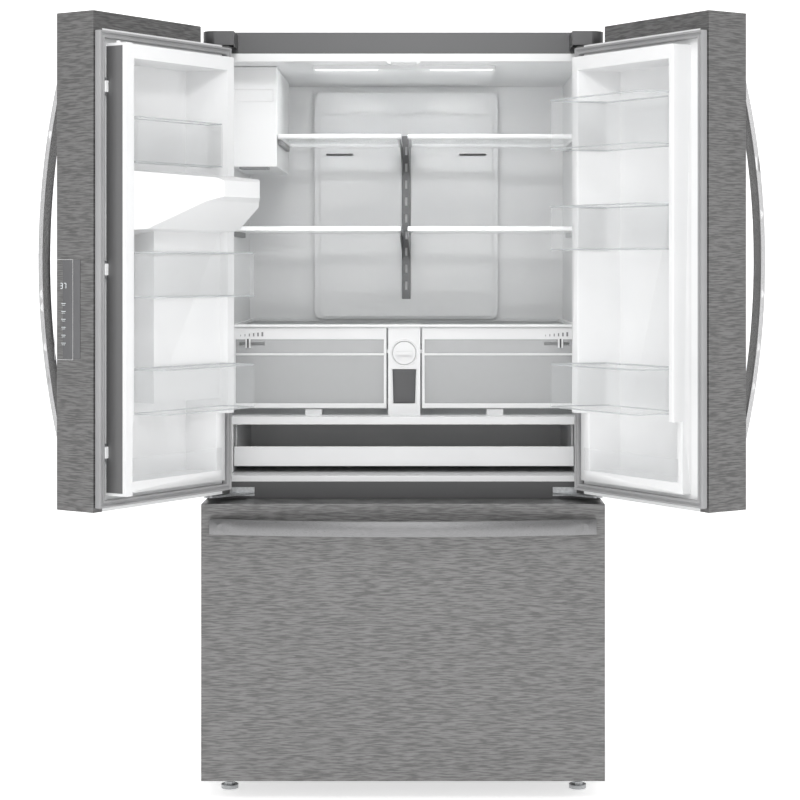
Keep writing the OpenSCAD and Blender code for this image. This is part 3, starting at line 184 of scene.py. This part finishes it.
def metal(name, low, high, stretch, rough, grain, metallic=1.0, scale=30.0, step=(0.3, 0.7)):
    """Brushed metal: stretched noise tints the colour and lifts the roughness."""
    mat, tree, bsdf = shader(name)
    lines = object_noise(tree, stretch, scale, 5.0)
    tint = ramp(tree, lines, low, high, *step)
    tree.links.new(tint.outputs["Color"], bsdf.inputs["Base Color"])
    gloss = ramp(tree, lines, (rough - 0.05,) * 3, (rough + 0.06,) * 3)
    tree.links.new(gloss.outputs["Color"], bsdf.inputs["Roughness"])
    bsdf.inputs["Metallic"].default_value = metallic
    bump(tree, bsdf, lines, grain, 0.0002)
    return mat

def plastic(name, low, high, rough, grain, scale=900.0, coat=0.0):
    """Moulded plastic: a faint mottling and a fine orange peel."""
    mat, tree, bsdf = shader(name)
    peel = object_noise(tree, (1, 1, 1), scale, 2.0)
    broad = object_noise(tree, (1, 1, 1), 6.0, 2.0)
    tint = ramp(tree, broad, low, high)
    tree.links.new(tint.outputs["Color"], bsdf.inputs["Base Color"])
    bsdf.inputs["Roughness"].default_value = rough
    bsdf.inputs["Coat Weight"].default_value = coat
    bsdf.inputs["Coat Roughness"].default_value = 0.12
    bump(tree, bsdf, peel, grain, 0.0002)
    return mat

# %% Finishes of the object
along_width = (1.0, 1.0, 12.0)
along_height = (90, 90, 6.0)
steel = metal("brushed_stainless", (0.150, 0.149, 0.148), (0.250, 0.248, 0.247), along_width,
              0.42, 0.10, 1.0, 32.0, (0.40, 0.60))
side_steel = metal("dark_cabinet_steel", (0.096, 0.096, 0.098), (0.108, 0.108, 0.110),
                   along_height, 0.42, 0.06, 0.7)
mullion_paint = metal("mullion_paint", (0.150, 0.150, 0.152), (0.165, 0.165, 0.167),
                      along_height, 0.42, 0.04, 0.4)
handle_metal = metal("satin_handle", (0.66, 0.66, 0.665), (0.70, 0.70, 0.705), (60, 60, 1.0), 0.28, 0.01)
drawer_bar_metal = metal("satin_drawer_bar", (0.22, 0.22, 0.223), (0.29, 0.29, 0.293),
                         (1.0, 60, 60), 0.32, 0.03)
zinc = metal("zinc_plate", (0.42, 0.43, 0.44), (0.56, 0.57, 0.58), (6, 6, 6), 0.36, 0.08)
white = plastic("white_liner", (0.79, 0.795, 0.80), (0.82, 0.823, 0.826), 0.30, 0.03, coat=0.15)
satin_white = plastic("satin_white_trim", (0.77, 0.775, 0.78), (0.81, 0.812, 0.815), 0.38, 0.05)
gasket_grey = plastic("gasket_rubber", (0.30, 0.30, 0.305), (0.35, 0.35, 0.355), 0.55, 0.15, 500.0)
dark_plastic = plastic("dark_plastic", (0.030, 0.030, 0.032), (0.045, 0.045, 0.047), 0.42, 0.10, 600.0)
gloss_black = plastic("control_glass", (0.105, 0.105, 0.11), (0.125, 0.125, 0.13), 0.14, 0.01, coat=0.5)
foam = plastic("foam", (0.72, 0.64, 0.42), (0.80, 0.73, 0.52), 0.85, 0.6, 250.0)
black_steel = plastic("black_enamel", (0.020, 0.020, 0.022), (0.032, 0.032, 0.034), 0.32, 0.12, 350.0)
window_grey = plastic("window_grey", (0.075, 0.075, 0.078), (0.095, 0.095, 0.098), 0.34, 0.06)
grey_plastic = plastic("grey_trim", (0.20, 0.20, 0.205), (0.24, 0.24, 0.245), 0.40, 0.06)

def clear(name, colour, rough, ior, alpha):
    """See-through moulding: mostly transparent, with a glossy skin and frosted unevenness."""
    mat, tree, bsdf = shader(name)
    frost = object_noise(tree, (1, 1, 1), 40.0, 3.0)
    gloss = ramp(tree, frost, (rough - 0.03,) * 3, (rough + 0.04,) * 3)
    tree.links.new(gloss.outputs["Color"], bsdf.inputs["Roughness"])
    bsdf.inputs["Base Color"].default_value = (*colour, 1)
    bsdf.inputs["IOR"].default_value = ior
    bsdf.inputs["Alpha"].default_value = alpha
    return mat

clear_bin = clear("clear_bin", (0.78, 0.80, 0.81), 0.07, 1.49, 0.08)
# Rim beads: greyer and far less clear than the bins, a painted shade standing in for the dark outline light
# makes at the edge of clear plastic
clear_rim_painted_edge_shade = clear("clear_rim_painted_edge_shade", (0.60, 0.62, 0.63), 0.10, 1.49, 0.62)
clear_drawer = clear("clear_drawer", (0.74, 0.75, 0.755), 0.16, 1.49, 0.34)
glass = clear("shelf_glass", (0.82, 0.86, 0.86), 0.06, 1.5, 0.22)

def glow(name, colour, strength):
    """A diffuser that shines: emission set on the shader itself."""
    mat, tree, bsdf = shader(name)
    speck = object_noise(tree, (1, 1, 1), 200.0, 2.0)
    tint = ramp(tree, speck, colour, tuple(min(1.0, c * 1.05) for c in colour))
    tree.links.new(tint.outputs["Color"], bsdf.inputs["Base Color"])
    bsdf.inputs["Emission Color"].default_value = (*colour, 1)
    bsdf.inputs["Emission Strength"].default_value = strength
    return mat

lamp_glow = glow("light_bar", (1.0, 1.0, 1.0), 1.6)
mark_glow = glow("display_mark", (0.75, 0.80, 0.82), 0.6)
print("materials", len(bpy.data.materials))

# %% [markdown]
# ## Dressing the measured parts
# A measured part has loose triangles and razor edges. Its mesh may not change, but modifiers
# may be added: Weld joins the triangles, then Bevel rounds every true edge by a millimetre or
# two, which catches the light as a real moulding or folded sheet does.

# %% Finishes and edge radii of the measured parts
dress = {}

def plan(material, radius, names):
    """Notes the finish and edge radius of each named part."""
    dress.update({n: (material, radius) for n in names.split()})

plan(steel, 0.0022, "left_door_shell right_door_shell drawer_skin")
plan(side_steel, 0.0012, "cabinet_shell hinge_covers")
plan(handle_metal, 0.0035, "left_door_handle right_door_handle")
plan(drawer_bar_metal, 0.0035, "drawer_handle")
plan(zinc, 0.0006, "rear_panel machine_base slide_outers slide_middles drawer_frame front_feet "
     "hinge_brackets mullion_hinges hinge_screws evaporator ice_auger")
plan(grey_plastic, 0.0006, "shelf_supports")
plan(white, 0.0030, "fridge_liner freezer_liner left_door_liner right_door_liner")
plan(white, 0.0015, "air_duct_cover ceiling_fittings ice_housing ice_bin filter_housing "
     "mullion_bar drawer_liner freezer_basket freezer_tray water_filter")
plan(satin_white, 0.0015, "shelf_trims drawer_surrounds pantry_drawer evaporator_fan water_valve")
plan(clear_bin, 0.0010, "left_door_bins right_door_bins")
plan(clear_drawer, 0.0012, "left_crisper right_crisper")
plan(glass, 0.0008, "shelf_glass")
plan(gasket_grey, 0.0020, "left_door_gasket right_door_gasket drawer_gasket")
plan(foam, 0.0, "cabinet_foam left_door_foam right_door_foam drawer_foam")
plan(black_steel, 0.0020, "compressor condenser")
plan(dark_plastic, 0.0015, "dispenser_recess dispenser_paddle condenser_fan rear_rollers")
plan(satin_white, 0.0006, "left_humidity right_humidity")
plan(gloss_black, 0.0004, "control_panel")

# %% Dress every measured part
for name, obj in nodes.items():
    material, radius = dress[name]
    obj.data.materials.clear()
    obj.data.materials.append(material)
    if radius:
        weld = obj.modifiers.new("weld", "WELD")
        weld.merge_threshold = 0.00002
        soft = obj.modifiers.new("edge", "BEVEL")
        soft.width = radius
        soft.segments = 2
        soft.limit_method = "ANGLE"
        soft.angle_limit = math.radians(40)
print("dressed", len(dress), "of", len(nodes))

# %% [markdown]
# ## Light bars and ceiling
# The two light bars in the ceiling are frosted strips in a white frame. Each strip is a shallow
# crowned surface, so its brightness falls away at the ends as on a real diffuser.

# %% Light bars
roof_z = float(corners("ceiling_fittings")[1][2])
flange = float(corners("fridge_liner")[0][1]) + 0.001

def crowned_strip(name, x0, x1, y0, y1, z, drop):
    """A strip whose height is z - drop * (1 - s^4) * (1 - t^4), with s along and t across."""
    s, t = np.meshgrid(np.linspace(-1, 1, 41), np.linspace(-1, 1, 9), indexing="ij")
    x = (x0 + x1) / 2 + s * (x1 - x0) / 2
    y = (y0 + y1) / 2 + t * (y1 - y0) / 2
    depth = z - drop * (1 - s ** 4) * (1 - t ** 4)
    top = np.stack([x, y, np.full_like(z * s, z + 0.0008)], -1)
    low = np.stack([x, y, depth], -1)
    n = s.size
    faces = np.vstack([grid_faces(41, 9)[:, ::-1], grid_faces(41, 9, first=n)])
    rim = np.concatenate([np.arange(9), np.arange(1, 41) * 9 + 8, 40 * 9 + np.arange(7, -1, -1),
                          np.arange(39, 0, -1) * 9])
    after = np.roll(rim, -1)
    edge = np.stack([rim, after, after + n, rim + n], -1)
    return new_object(name, np.vstack([low.reshape(-1, 3), top.reshape(-1, 3)]),
                      np.vstack([faces, edge]))

for side in (-1, 1):
    ends = sorted([side * 0.062, side * 0.208])
    bar = crowned_strip("light_bar_" + ("left" if side < 0 else "right"), ends[0], ends[1],
                        flange + 0.0895, flange + 0.098, roof_z - 0.0104, 0.0012)
    finish_piece(bar, "cabinet", lamp_glow)
print("light bars at z", round(roof_z - 0.0104, 4))

# %% [markdown]
# ## Grey face of the mullion
# The hinged bar on the left door carries a painted strip on the side that faces out once it
# turns across the gap. It is a thin plate with rounded edges and white edge beads.

# %% Mullion strip
door_joint = np.array(joints["mullion_flip"]["pos_m"])

def to_door(point):
    """Frame points as door coordinates u, v, z of the left door."""
    p = np.asarray(point, float)
    d = p - np.array([pin[0], pin[1], 0.0])
    return np.stack([d @ u_axis, d @ v_axis, p[..., 2]], -1)

def node_points(node):
    """All points of a measured part's mesh."""
    mesh = nodes[node].data
    flat = np.empty(3 * len(mesh.vertices))
    mesh.vertices.foreach_get("co", flat)
    return flat.reshape(-1, 3)

bar = to_door(node_points("mullion_bar"))
axis_to_face = 0.0075
face_u = float(to_door(door_joint)[0]) - axis_to_face
on_face = bar[np.abs(bar[:, 0] - face_u) < 0.001]
face_v = (float(on_face[:, 1].min()), float(on_face[:, 1].max()))
face_z = (float(on_face[:, 2].min()), float(on_face[:, 2].max()))
bead_w, far_w = 0.0060, 0.0090
strip = boxes("mullion_strip", [face_u - 0.0004, face_v[0] + bead_w, face_z[0] + 0.006],
              [face_u + 0.0009, face_v[1] - far_w, face_z[1] - 0.006], "left")
finish_piece(strip, "mullion", mullion_paint, 0.0003)
beads = boxes("mullion_beads",
              [[face_u - 0.0008, face_v[0] + 0.0002, face_z[0] + 0.002],
               [face_u - 0.0008, face_v[1] - far_w, face_z[0] + 0.002]],
              [[face_u + 0.0011, face_v[0] + bead_w, face_z[1] - 0.002],
               [face_u + 0.0011, face_v[1] - 0.0002, face_z[1] - 0.002]], "left")
finish_piece(beads, "mullion", satin_white, 0.0005)
print("mullion face u", round(face_u, 4), "v", [round(v, 4) for v in face_v],
      "z", [round(v, 3) for v in face_z], "all u", round(float(bar[:, 0].min()), 4),
      "all v", [round(float(bar[:, 1].min()), 4), round(float(bar[:, 1].max()), 4)])

# %% [markdown]
# ## Display on the edge of the left door
# The control panel is dark glass with seven-segment digits and a column of touch marks. A digit
# is up to seven little bars; which of them are lit is looked up in a table.

# %% Display marks
panel_low, panel_high = corners("control_panel")
edge_u = to_door([panel_low[0], panel_low[1], 0])[0]
edge_u = max(edge_u, to_door([panel_high[0], panel_low[1], 0])[0], 0.4408)
segments = {"3": "abcdg", "7": "abc"}
bar_places = {"a": (0, 1, 1, 0), "b": (.5, .5, 0, 1), "c": (.5, -.5, 0, 1), "d": (0, -1, 1, 0),
              "e": (-.5, -.5, 0, 1), "f": (-.5, .5, 0, 1), "g": (0, 0, 1, 0)}

def digit(text, v, z, high):
    """Lows and highs of the lit bars: centre plus offsets of half the digit's height."""
    lows, highs = [], []
    for name in segments[text]:
        dv, dz, flat, up = bar_places[name]
        half_v = 0.0004 + flat * high * 0.16
        half_z = 0.0004 + up * high * 0.16
        cv, cz = v + dv * high * 0.45, z + dz * high * 0.42
        lows.append([edge_u, cv - half_v, cz - half_z])
        highs.append([edge_u + 0.0004, cv + half_v, cz + half_z])
    return lows, highs

mid_v = -0.0035
lows, highs = digit("3", mid_v - 0.006, 1.165, 0.013)
more = digit("7", mid_v + 0.004, 1.165, 0.013)
lows, highs = lows + more[0], highs + more[1]
for i in range(6):
    z = 1.128 - i * 0.0165
    lows += [[edge_u, mid_v - 0.006, z], [edge_u, mid_v - 0.0045, z - 0.0035]]
    highs += [[edge_u + 0.0004, mid_v + 0.006, z + 0.0007], [edge_u + 0.0004, mid_v + 0.0045, z - 0.003]]
marks = boxes("display_marks", lows, highs, "left")
finish_piece(marks, "left_door", mark_glow)

# A fine metal surround makes the glass read as a separate piece
panel_z = (float(panel_low[2]), float(panel_high[2]))
frame_lows = [[edge_u - 0.0002, -0.029, panel_z[0] - 0.001], [edge_u - 0.0002, 0.0222, panel_z[0] - 0.001],
              [edge_u - 0.0002, -0.029, panel_z[0] - 0.001], [edge_u - 0.0002, -0.029, panel_z[1]]]
frame_highs = [[edge_u + 0.0004, -0.028, panel_z[1] + 0.001], [edge_u + 0.0004, 0.0232, panel_z[1] + 0.001],
               [edge_u + 0.0004, 0.0232, panel_z[0]], [edge_u + 0.0004, 0.0232, panel_z[1] + 0.001]]
surround = boxes("display_surround", frame_lows, frame_highs, "left")
finish_piece(surround, "left_door", handle_metal)
print("display", len(lows), "marks")

# %% [markdown]
# ## Crisper fronts
# A crisper front is a clear panel held in a white frame: a band at the top, a clear strip and a
# thin white line under it, and a bottom rail. Each rail is a rounded bar, a superellipse profile
# carried along X. A dark tick rides on the humidity slider.

# %% Crisper frames
def rail(name, x0, x1, y0, y1, z0, z1, power=6.0, around=32):
    """A bar along X with a superellipse section: |y|^p + |z|^p = 1, closed at both ends."""
    a = np.linspace(0, 2 * math.pi, around, endpoint=False)
    cy = np.sign(np.cos(a)) * np.abs(np.cos(a)) ** (2 / power)
    cz = np.sign(np.sin(a)) * np.abs(np.sin(a)) ** (2 / power)
    y, z = (y0 + y1) / 2 + cy * (y1 - y0) / 2, (z0 + z1) / 2 + cz * (z1 - z0) / 2
    x = np.array([x0, x1])
    pts = np.stack([np.repeat(x[:, None], around, 1), np.tile(y, (2, 1)), np.tile(z, (2, 1))], -1)
    centre = np.array([[x0, (y0 + y1) / 2, (z0 + z1) / 2], [x1, (y0 + y1) / 2, (z0 + z1) / 2]])
    obj_faces = grid_faces(2, around, wrap_cols=True)[:, ::-1].tolist()
    k, nxt = np.arange(around), (np.arange(around) + 1) % around
    caps = np.stack([np.full(around, 2 * around), nxt, k], -1).tolist()
    caps += np.stack([np.full(around, 2 * around + 1), k + around, nxt + around], -1).tolist()
    mesh = bpy.data.meshes.new(name)
    mesh.from_pydata(np.vstack([pts.reshape(-1, 3), centre]).tolist(), [], obj_faces + caps)
    mesh.update()
    obj = bpy.data.objects.new(name, mesh)
    bpy.context.scene.collection.objects.link(obj)
    return obj

def crisper_front(side):
    """Rails and posts of one crisper front, measured from the crisper's own box."""
    low, high = corners(side + "_crisper")
    x0, x1, y, z0, z1 = low[0] + 0.0008, high[0] - 0.0008, low[1], low[2], high[2]
    for label, ya, za, zb in (("line", y - 0.0012, z1 - 0.0655, z1 - 0.0605),
                              ("bottom_rail", y - 0.0020, z0 + 0.0004, z0 + 0.0120),
                              ("band_top", y - 0.0014, z1 - 0.0050, z1 - 0.0006)):
        piece = rail(side + "_crisper_" + label, x0, x1, ya, y + 0.0008, za, zb)
        finish_piece(piece, side + "_crisper", satin_white)
    scale_x = (high[0] - 0.078) if side == "right" else (low[0] + 0.012)
    band = boxes(side + "_crisper_band", [x0, y - 0.0009, z1 - 0.0275], [x1, y + 0.0005, z1 - 0.0040])
    finish_piece(band, side + "_crisper", satin_white)
    posts = boxes(side + "_crisper_posts", [[x0, y - 0.0012, z0], [x1 - 0.006, y - 0.0012, z0]],
                  [[x0 + 0.006, y + 0.0008, z1], [x1, y + 0.0008, z1]])
    finish_piece(posts, side + "_crisper", satin_white, 0.0004)
    knob_low, knob_high = corners(side + "_humidity")
    knob_x = (knob_low[0] + knob_high[0]) / 2
    tick = boxes(side + "_humidity_tick", [knob_x - 0.002, knob_low[1] - 0.0006, knob_low[2] + 0.0004],
                 [knob_x + 0.002, knob_low[1] + 0.0004, knob_high[2] - 0.0004])
    finish_piece(tick, side + "_humidity", dark_plastic)
    ticks = [[scale_x + 0.006 + 0.010 * i, y - 0.0015, z1 - 0.0205] for i in range(6)]
    tick_high = [[t[0] + 0.0012 + 0.0006 * i, t[1] + 0.0008, t[2] + 0.004 + 0.0012 * i]
                 for i, t in enumerate(ticks)]
    scale = boxes(side + "_humidity_scale", ticks, tick_high)
    finish_piece(scale, side + "_crisper", grey_plastic)

crisper_front("left")
crisper_front("right")
print("crisper fronts at y", round(float(corners("left_crisper")[0][1]), 4))

# %% [markdown]
# ## Filter cap and grey window
# Between the crispers the housing holds the filter's turning cap and, under it, a recessed grey
# window. The window is a plate whose lower edge is narrower, as a frame seen sloping inwards.

# %% Filter window
house_low = corners("filter_housing")[0]
cap_low, cap_high = corners("water_filter")
crisp = corners("left_crisper")
well_z = (float(crisp[0][2]) + 0.0120, float(cap_low[2]) - 0.0120)
well_y = float(crisp[0][1]) + 0.0052
s, t = np.meshgrid(np.linspace(-1, 1, 25), np.linspace(0, 1, 25), indexing="ij")
width = 0.0275 - 0.002 * (1 - t)
window_x = s * width
window_y = well_y - 0.0012 * (1 - s ** 8) * (1 - (2 * t - 1) ** 8)
window_z = well_z[0] + t * (well_z[1] - well_z[0])
window = new_object("filter_window", np.stack([window_x, window_y, window_z], -1),
                    grid_faces(25, 25))
shell = window.modifiers.new("wall", "SOLIDIFY")
shell.thickness = 0.0006
shell.offset = -1
finish_piece(window, "cabinet", window_grey)

# The ring round the cap: a circle section carried round a circle
a, b = np.meshgrid(np.linspace(0, 2 * math.pi, 64, endpoint=False),
                   np.linspace(0, 2 * math.pi, 16, endpoint=False), indexing="ij")
cap_z = (float(cap_low[2]) + float(cap_high[2])) / 2
ring_r, tube_r = (float(cap_high[2]) - float(cap_low[2])) / 2 + 0.0035, 0.0016
ring = new_object("filter_ring", np.stack([
    (ring_r + tube_r * np.cos(b)) * np.cos(a), float(house_low[1]) - 0.0002 + tube_r * np.sin(b),
    cap_z + (ring_r + tube_r * np.cos(b)) * np.sin(a)], -1), grid_faces(64, 16, True, True))
finish_piece(ring, "cabinet", satin_white)
print("filter window z", [round(v, 4) for v in well_z])

# %% [markdown]
# ## Ice maker outlet
# Ice falls through a slot in the floor of the ice maker housing. A dark collar round the slot
# is what shows from below.

# %% Ice outlet collar
ice_low, ice_high = corners("ice_housing")
mid_x = (ice_low[0] + ice_high[0]) / 2
bin_front = float(corners("ice_bin")[0][1])
slot_y = (bin_front + 0.009, bin_front + 0.049)
slot_half, wall_w = 0.026, 0.008
edge_half = slot_half + wall_w
below, above = ice_low[2] - 0.005, ice_low[2] + 0.0005
collar_low = [[mid_x - edge_half, slot_y[0] - wall_w, below], [mid_x - edge_half, slot_y[1], below],
              [mid_x - edge_half, slot_y[0], below], [mid_x + slot_half, slot_y[0], below]]
collar_high = [[mid_x + edge_half, slot_y[0], above], [mid_x + edge_half, slot_y[1] + wall_w, above],
               [mid_x - slot_half, slot_y[1], above], [mid_x + edge_half, slot_y[1], above]]
collar = boxes("ice_outlet_collar", collar_low, collar_high)
finish_piece(collar, "cabinet", grey_plastic, 0.0006)
print("ice outlet x", round(float(mid_x), 4))

# %% [markdown]
# ## Rims of the clear bins
# Clear plastic shows mostly at its edges, where light leaves the wall. Each bin gets a bead
# round its rim and its base: a small circle carried round the bin's own outline. The beads are real
# moulded rims, but their grey, nearly opaque tint is painted shade for the dark outline that light
# makes at a clear edge.

# %% Bin rims
def bin_outline(v0, v1):
    """Corners of a door bin seen from above, in metres, as the bins are built."""
    u0, u1, dike = 0.061, 0.368, 0.108
    back = max(0.0, (dike - v0) * 0.32)
    return np.array([[u0 + back, v0], [u0, dike], [u0 - 0.008, dike + 0.014], [u0 - 0.004, v1],
                     [u1 - 0.012, v1], [u1, dike], [u1 - back * 0.6, v0]])

def rounded_loop(corner, radius=0.006, steps=5):
    """Each corner of the outline becomes a short quadratic curve between its two sides."""
    before, after = np.roll(corner, 1, 0), np.roll(corner, -1, 0)
    to_b = (before - corner) / np.linalg.norm(before - corner, axis=1, keepdims=True)
    to_a = (after - corner) / np.linalg.norm(after - corner, axis=1, keepdims=True)
    t = np.linspace(0, 1, steps)[None, :, None]
    p, q, c = (corner + to_b * radius)[:, None], (corner + to_a * radius)[:, None], corner[:, None]
    return ((1 - t) ** 2 * p + 2 * t * (1 - t) * c + t ** 2 * q).reshape(-1, 2)

def bead(outline, z, r, side, name, around=10):
    """A circle of radius r carried round a closed level outline."""
    way = np.roll(outline, -1, 0) - np.roll(outline, 1, 0)
    way /= np.linalg.norm(way, axis=1, keepdims=True)
    out = np.stack([way[:, 1], -way[:, 0]], -1)
    a = np.linspace(0, 2 * math.pi, around, endpoint=False)
    flat = outline[:, None] + out[:, None] * (r * np.cos(a))[None, :, None]
    up = np.broadcast_to(z + r * np.sin(a), flat.shape[:2])
    pts = door_points(np.concatenate([flat, up[..., None]], -1), side)
    obj = new_object(name, pts, grid_faces(len(outline), around, True, True))
    return obj

door_bins = [("right", 0.040, 0.182, 0.894, 0.096), ("right", 0.040, 0.182, 1.240, 0.096),
             ("right", 0.040, 0.182, 1.460, 0.110), ("left", 0.093, 0.182, 0.894, 0.096),
             ("left", 0.093, 0.182, 1.138, 0.096)]
for i, (side, v0, v1, z, h) in enumerate(door_bins):
    loop = rounded_loop(bin_outline(v0 + 0.0015, v1 - 0.0015))
    for label, height, r in (("rim", z + h, 0.0019), ("base", z + 0.0025, 0.0014)):
        piece = bead(loop, height, r, side, f"{side}_bin_{label}_{i}")
        finish_piece(piece, side + "_door", clear_rim_painted_edge_shade)
top_u0, top_u1, top_v0, top_v1 = 0.077, 0.358, 0.062, 0.1065
top_bin = rounded_loop(np.array([[top_u0, top_v0], [top_u0, top_v1], [top_u1, top_v1],
                                 [top_u1, top_v0]]))
top_z = float(corners("left_door_bins")[1][2])
for label, height, r in (("rim", top_z, 0.0016), ("base", top_z - 0.0935, 0.0012)):
    piece = bead(top_bin, height, r, "left", "left_top_bin_" + label)
    finish_piece(piece, "left_door", clear_rim_painted_edge_shade)
print("bin beads", 2 * len(door_bins) + 2)

# %% [markdown]
# ## Shelf fronts
# A shelf's front edge is a rounded white bullnose: a superellipse profile carried along X.

# %% Shelf bullnoses
trim_low, trim_high = corners("shelf_trims")
ice_edge = float(ice_high[0])
wall = float(corners("fridge_liner")[1][0]) - 0.002
upper, lower = float(trim_high[2]), float(trim_high[2]) - 0.218
middle_gap, end_gap = 0.0085, 0.002
for label, x0, x1, z in (("upper_left", ice_edge + end_gap, -middle_gap, upper),
                         ("upper_right", middle_gap, wall - end_gap, upper),
                         ("lower_left", -wall + end_gap, -middle_gap, lower),
                         ("lower_right", middle_gap, wall - end_gap, lower)):
    nose = rail("shelf_front_" + label, x0, x1, trim_low[1] - 0.004, trim_low[1] + 0.004,
                z - 0.0108, z - 0.0002, 2.6)
    finish_piece(nose, "cabinet", satin_white)
cover_front = rail("cover_front", -wall + 0.001, wall - 0.001, trim_low[1] - 0.003, trim_low[1] + 0.004,
                   1.0608, 1.0678, 3.0)
finish_piece(cover_front, "cabinet", satin_white)
print("shelf fronts at z", round(upper, 4), round(lower, 4))

# %% [markdown]
# ## Studio
# A pale floor curving up into a pale wall is one profile carried sideways. Large soft lights
# stand left, right, in front and overhead, so that steel shows broad gradients and no hard glints.
# Small ones under the ceiling bars and between the shelves stand for the lamps inside.

# %% Floor and backdrop
def backdrop():
    """Floor, a quarter circle of radius 1.2 m, then wall: a profile in YZ carried along X."""
    turn = np.linspace(0, math.pi / 2, 24)
    y = np.concatenate([[-9.0, 1.8], 1.8 + 1.2 * np.sin(turn), [3.0]])
    z = np.concatenate([[0.0, 0.0], 1.2 - 1.2 * np.cos(turn), [7.0]])
    x = np.array([-9.0, 9.0])
    pts = np.stack([np.repeat(x[:, None], len(y), 1), np.tile(y, (2, 1)), np.tile(z, (2, 1))], -1)
    return new_object("backdrop", pts, grid_faces(2, len(y))[:, ::-1])

studio = plastic("studio_paper", (0.90, 0.90, 0.90), (0.91, 0.91, 0.91), 0.9, 0.0)
studio.node_tree.nodes["Principled BSDF"].inputs["Emission Color"].default_value = (1, 1, 1, 1)
studio.node_tree.nodes["Principled BSDF"].inputs["Emission Strength"].default_value = 0.62
paper = backdrop()
paper.data.materials.append(studio)
paper.data.polygons.foreach_set("use_smooth", np.ones(len(paper.data.polygons), bool))

# %% Lights, world and camera
def soft_light(name, place, aim, width, height, power):
    """An area light at a place, turned to face a point."""
    data = bpy.data.lights.new(name, "AREA")
    data.shape = "RECTANGLE"
    data.size, data.size_y, data.energy = width, height, power
    obj = bpy.data.objects.new(name, data)
    bpy.context.scene.collection.objects.link(obj)
    way = np.array(aim, float) - np.array(place, float)
    flat = math.hypot(way[0], way[1])
    obj.location = place
    obj.rotation_euler = (math.atan2(flat, -way[2]), 0, math.atan2(-way[0], way[1]))
    return obj

soft_light("key", (-3.4, -3.6, 2.7), (0, 0, 0.95), 2.2, 2.2, 20)
soft_light("fill", (3.4, -3.6, 2.7), (0, 0, 0.95), 2.2, 2.2, 18)
soft_light("front", (0, -5.2, 1.9), (0, 0, 1.0), 3.0, 1.6, 11)
soft_light("top", (0, -2.1, 3.5), (0, -0.4, 0.5), 1.3, 0.7, 17)
soft_light("drawer_top", (0, -3.1, 2.7), (0, front_y, 0.55), 0.8, 0.5, 30)
for side in (-1, 1):
    soft_light("edge" + ("_left" if side < 0 else "_right"), (side * 3.6, -1.9, 1.6),
               (side * 0.69, front_y, 1.1), 1.2, 2.0, 11)
    bar_light = soft_light("bar_light" + ("_left" if side < 0 else "_right"),
                           (side * 0.135, flange + 0.094, roof_z - 0.014),
                           (side * 0.16, flange + 0.34, 1.2),
                           0.146, 0.03, 0.65)
    bar_light.visible_camera = False
soft_light("low_front", (0, -4.2, 1.0), (0, 0, 0.78), 1.6, 0.5, 7)
low_fill = soft_light("shelf_fill", (0, flange + 0.03, 1.29), (0, flange + 0.60, 1.16), 0.70, 0.03, 0.35)
low_fill.visible_camera = False
world = bpy.data.worlds.new("room")
world.use_nodes = True
world.node_tree.nodes["Background"].inputs["Color"].default_value = (1, 1, 1, 1)
world.node_tree.nodes["Background"].inputs["Strength"].default_value = 0.34
bpy.context.scene.world = world

camera_data = bpy.data.cameras.new("camera")
camera_data.sensor_width = 36
camera_data.lens = 2026 / 800 * 36
camera_data.shift_x = -0.0324
camera_data.shift_y = -0.1677
camera = bpy.data.objects.new("camera", camera_data)
camera.location = (0.0514, front_y - 4.554, 1.2065)
camera.rotation_euler = (math.pi / 2, 0, 0)
bpy.context.scene.collection.objects.link(camera)
bpy.context.scene.camera = camera
bpy.context.scene.view_settings.view_transform = "Standard"
print("camera y", round(camera.location.y, 3))
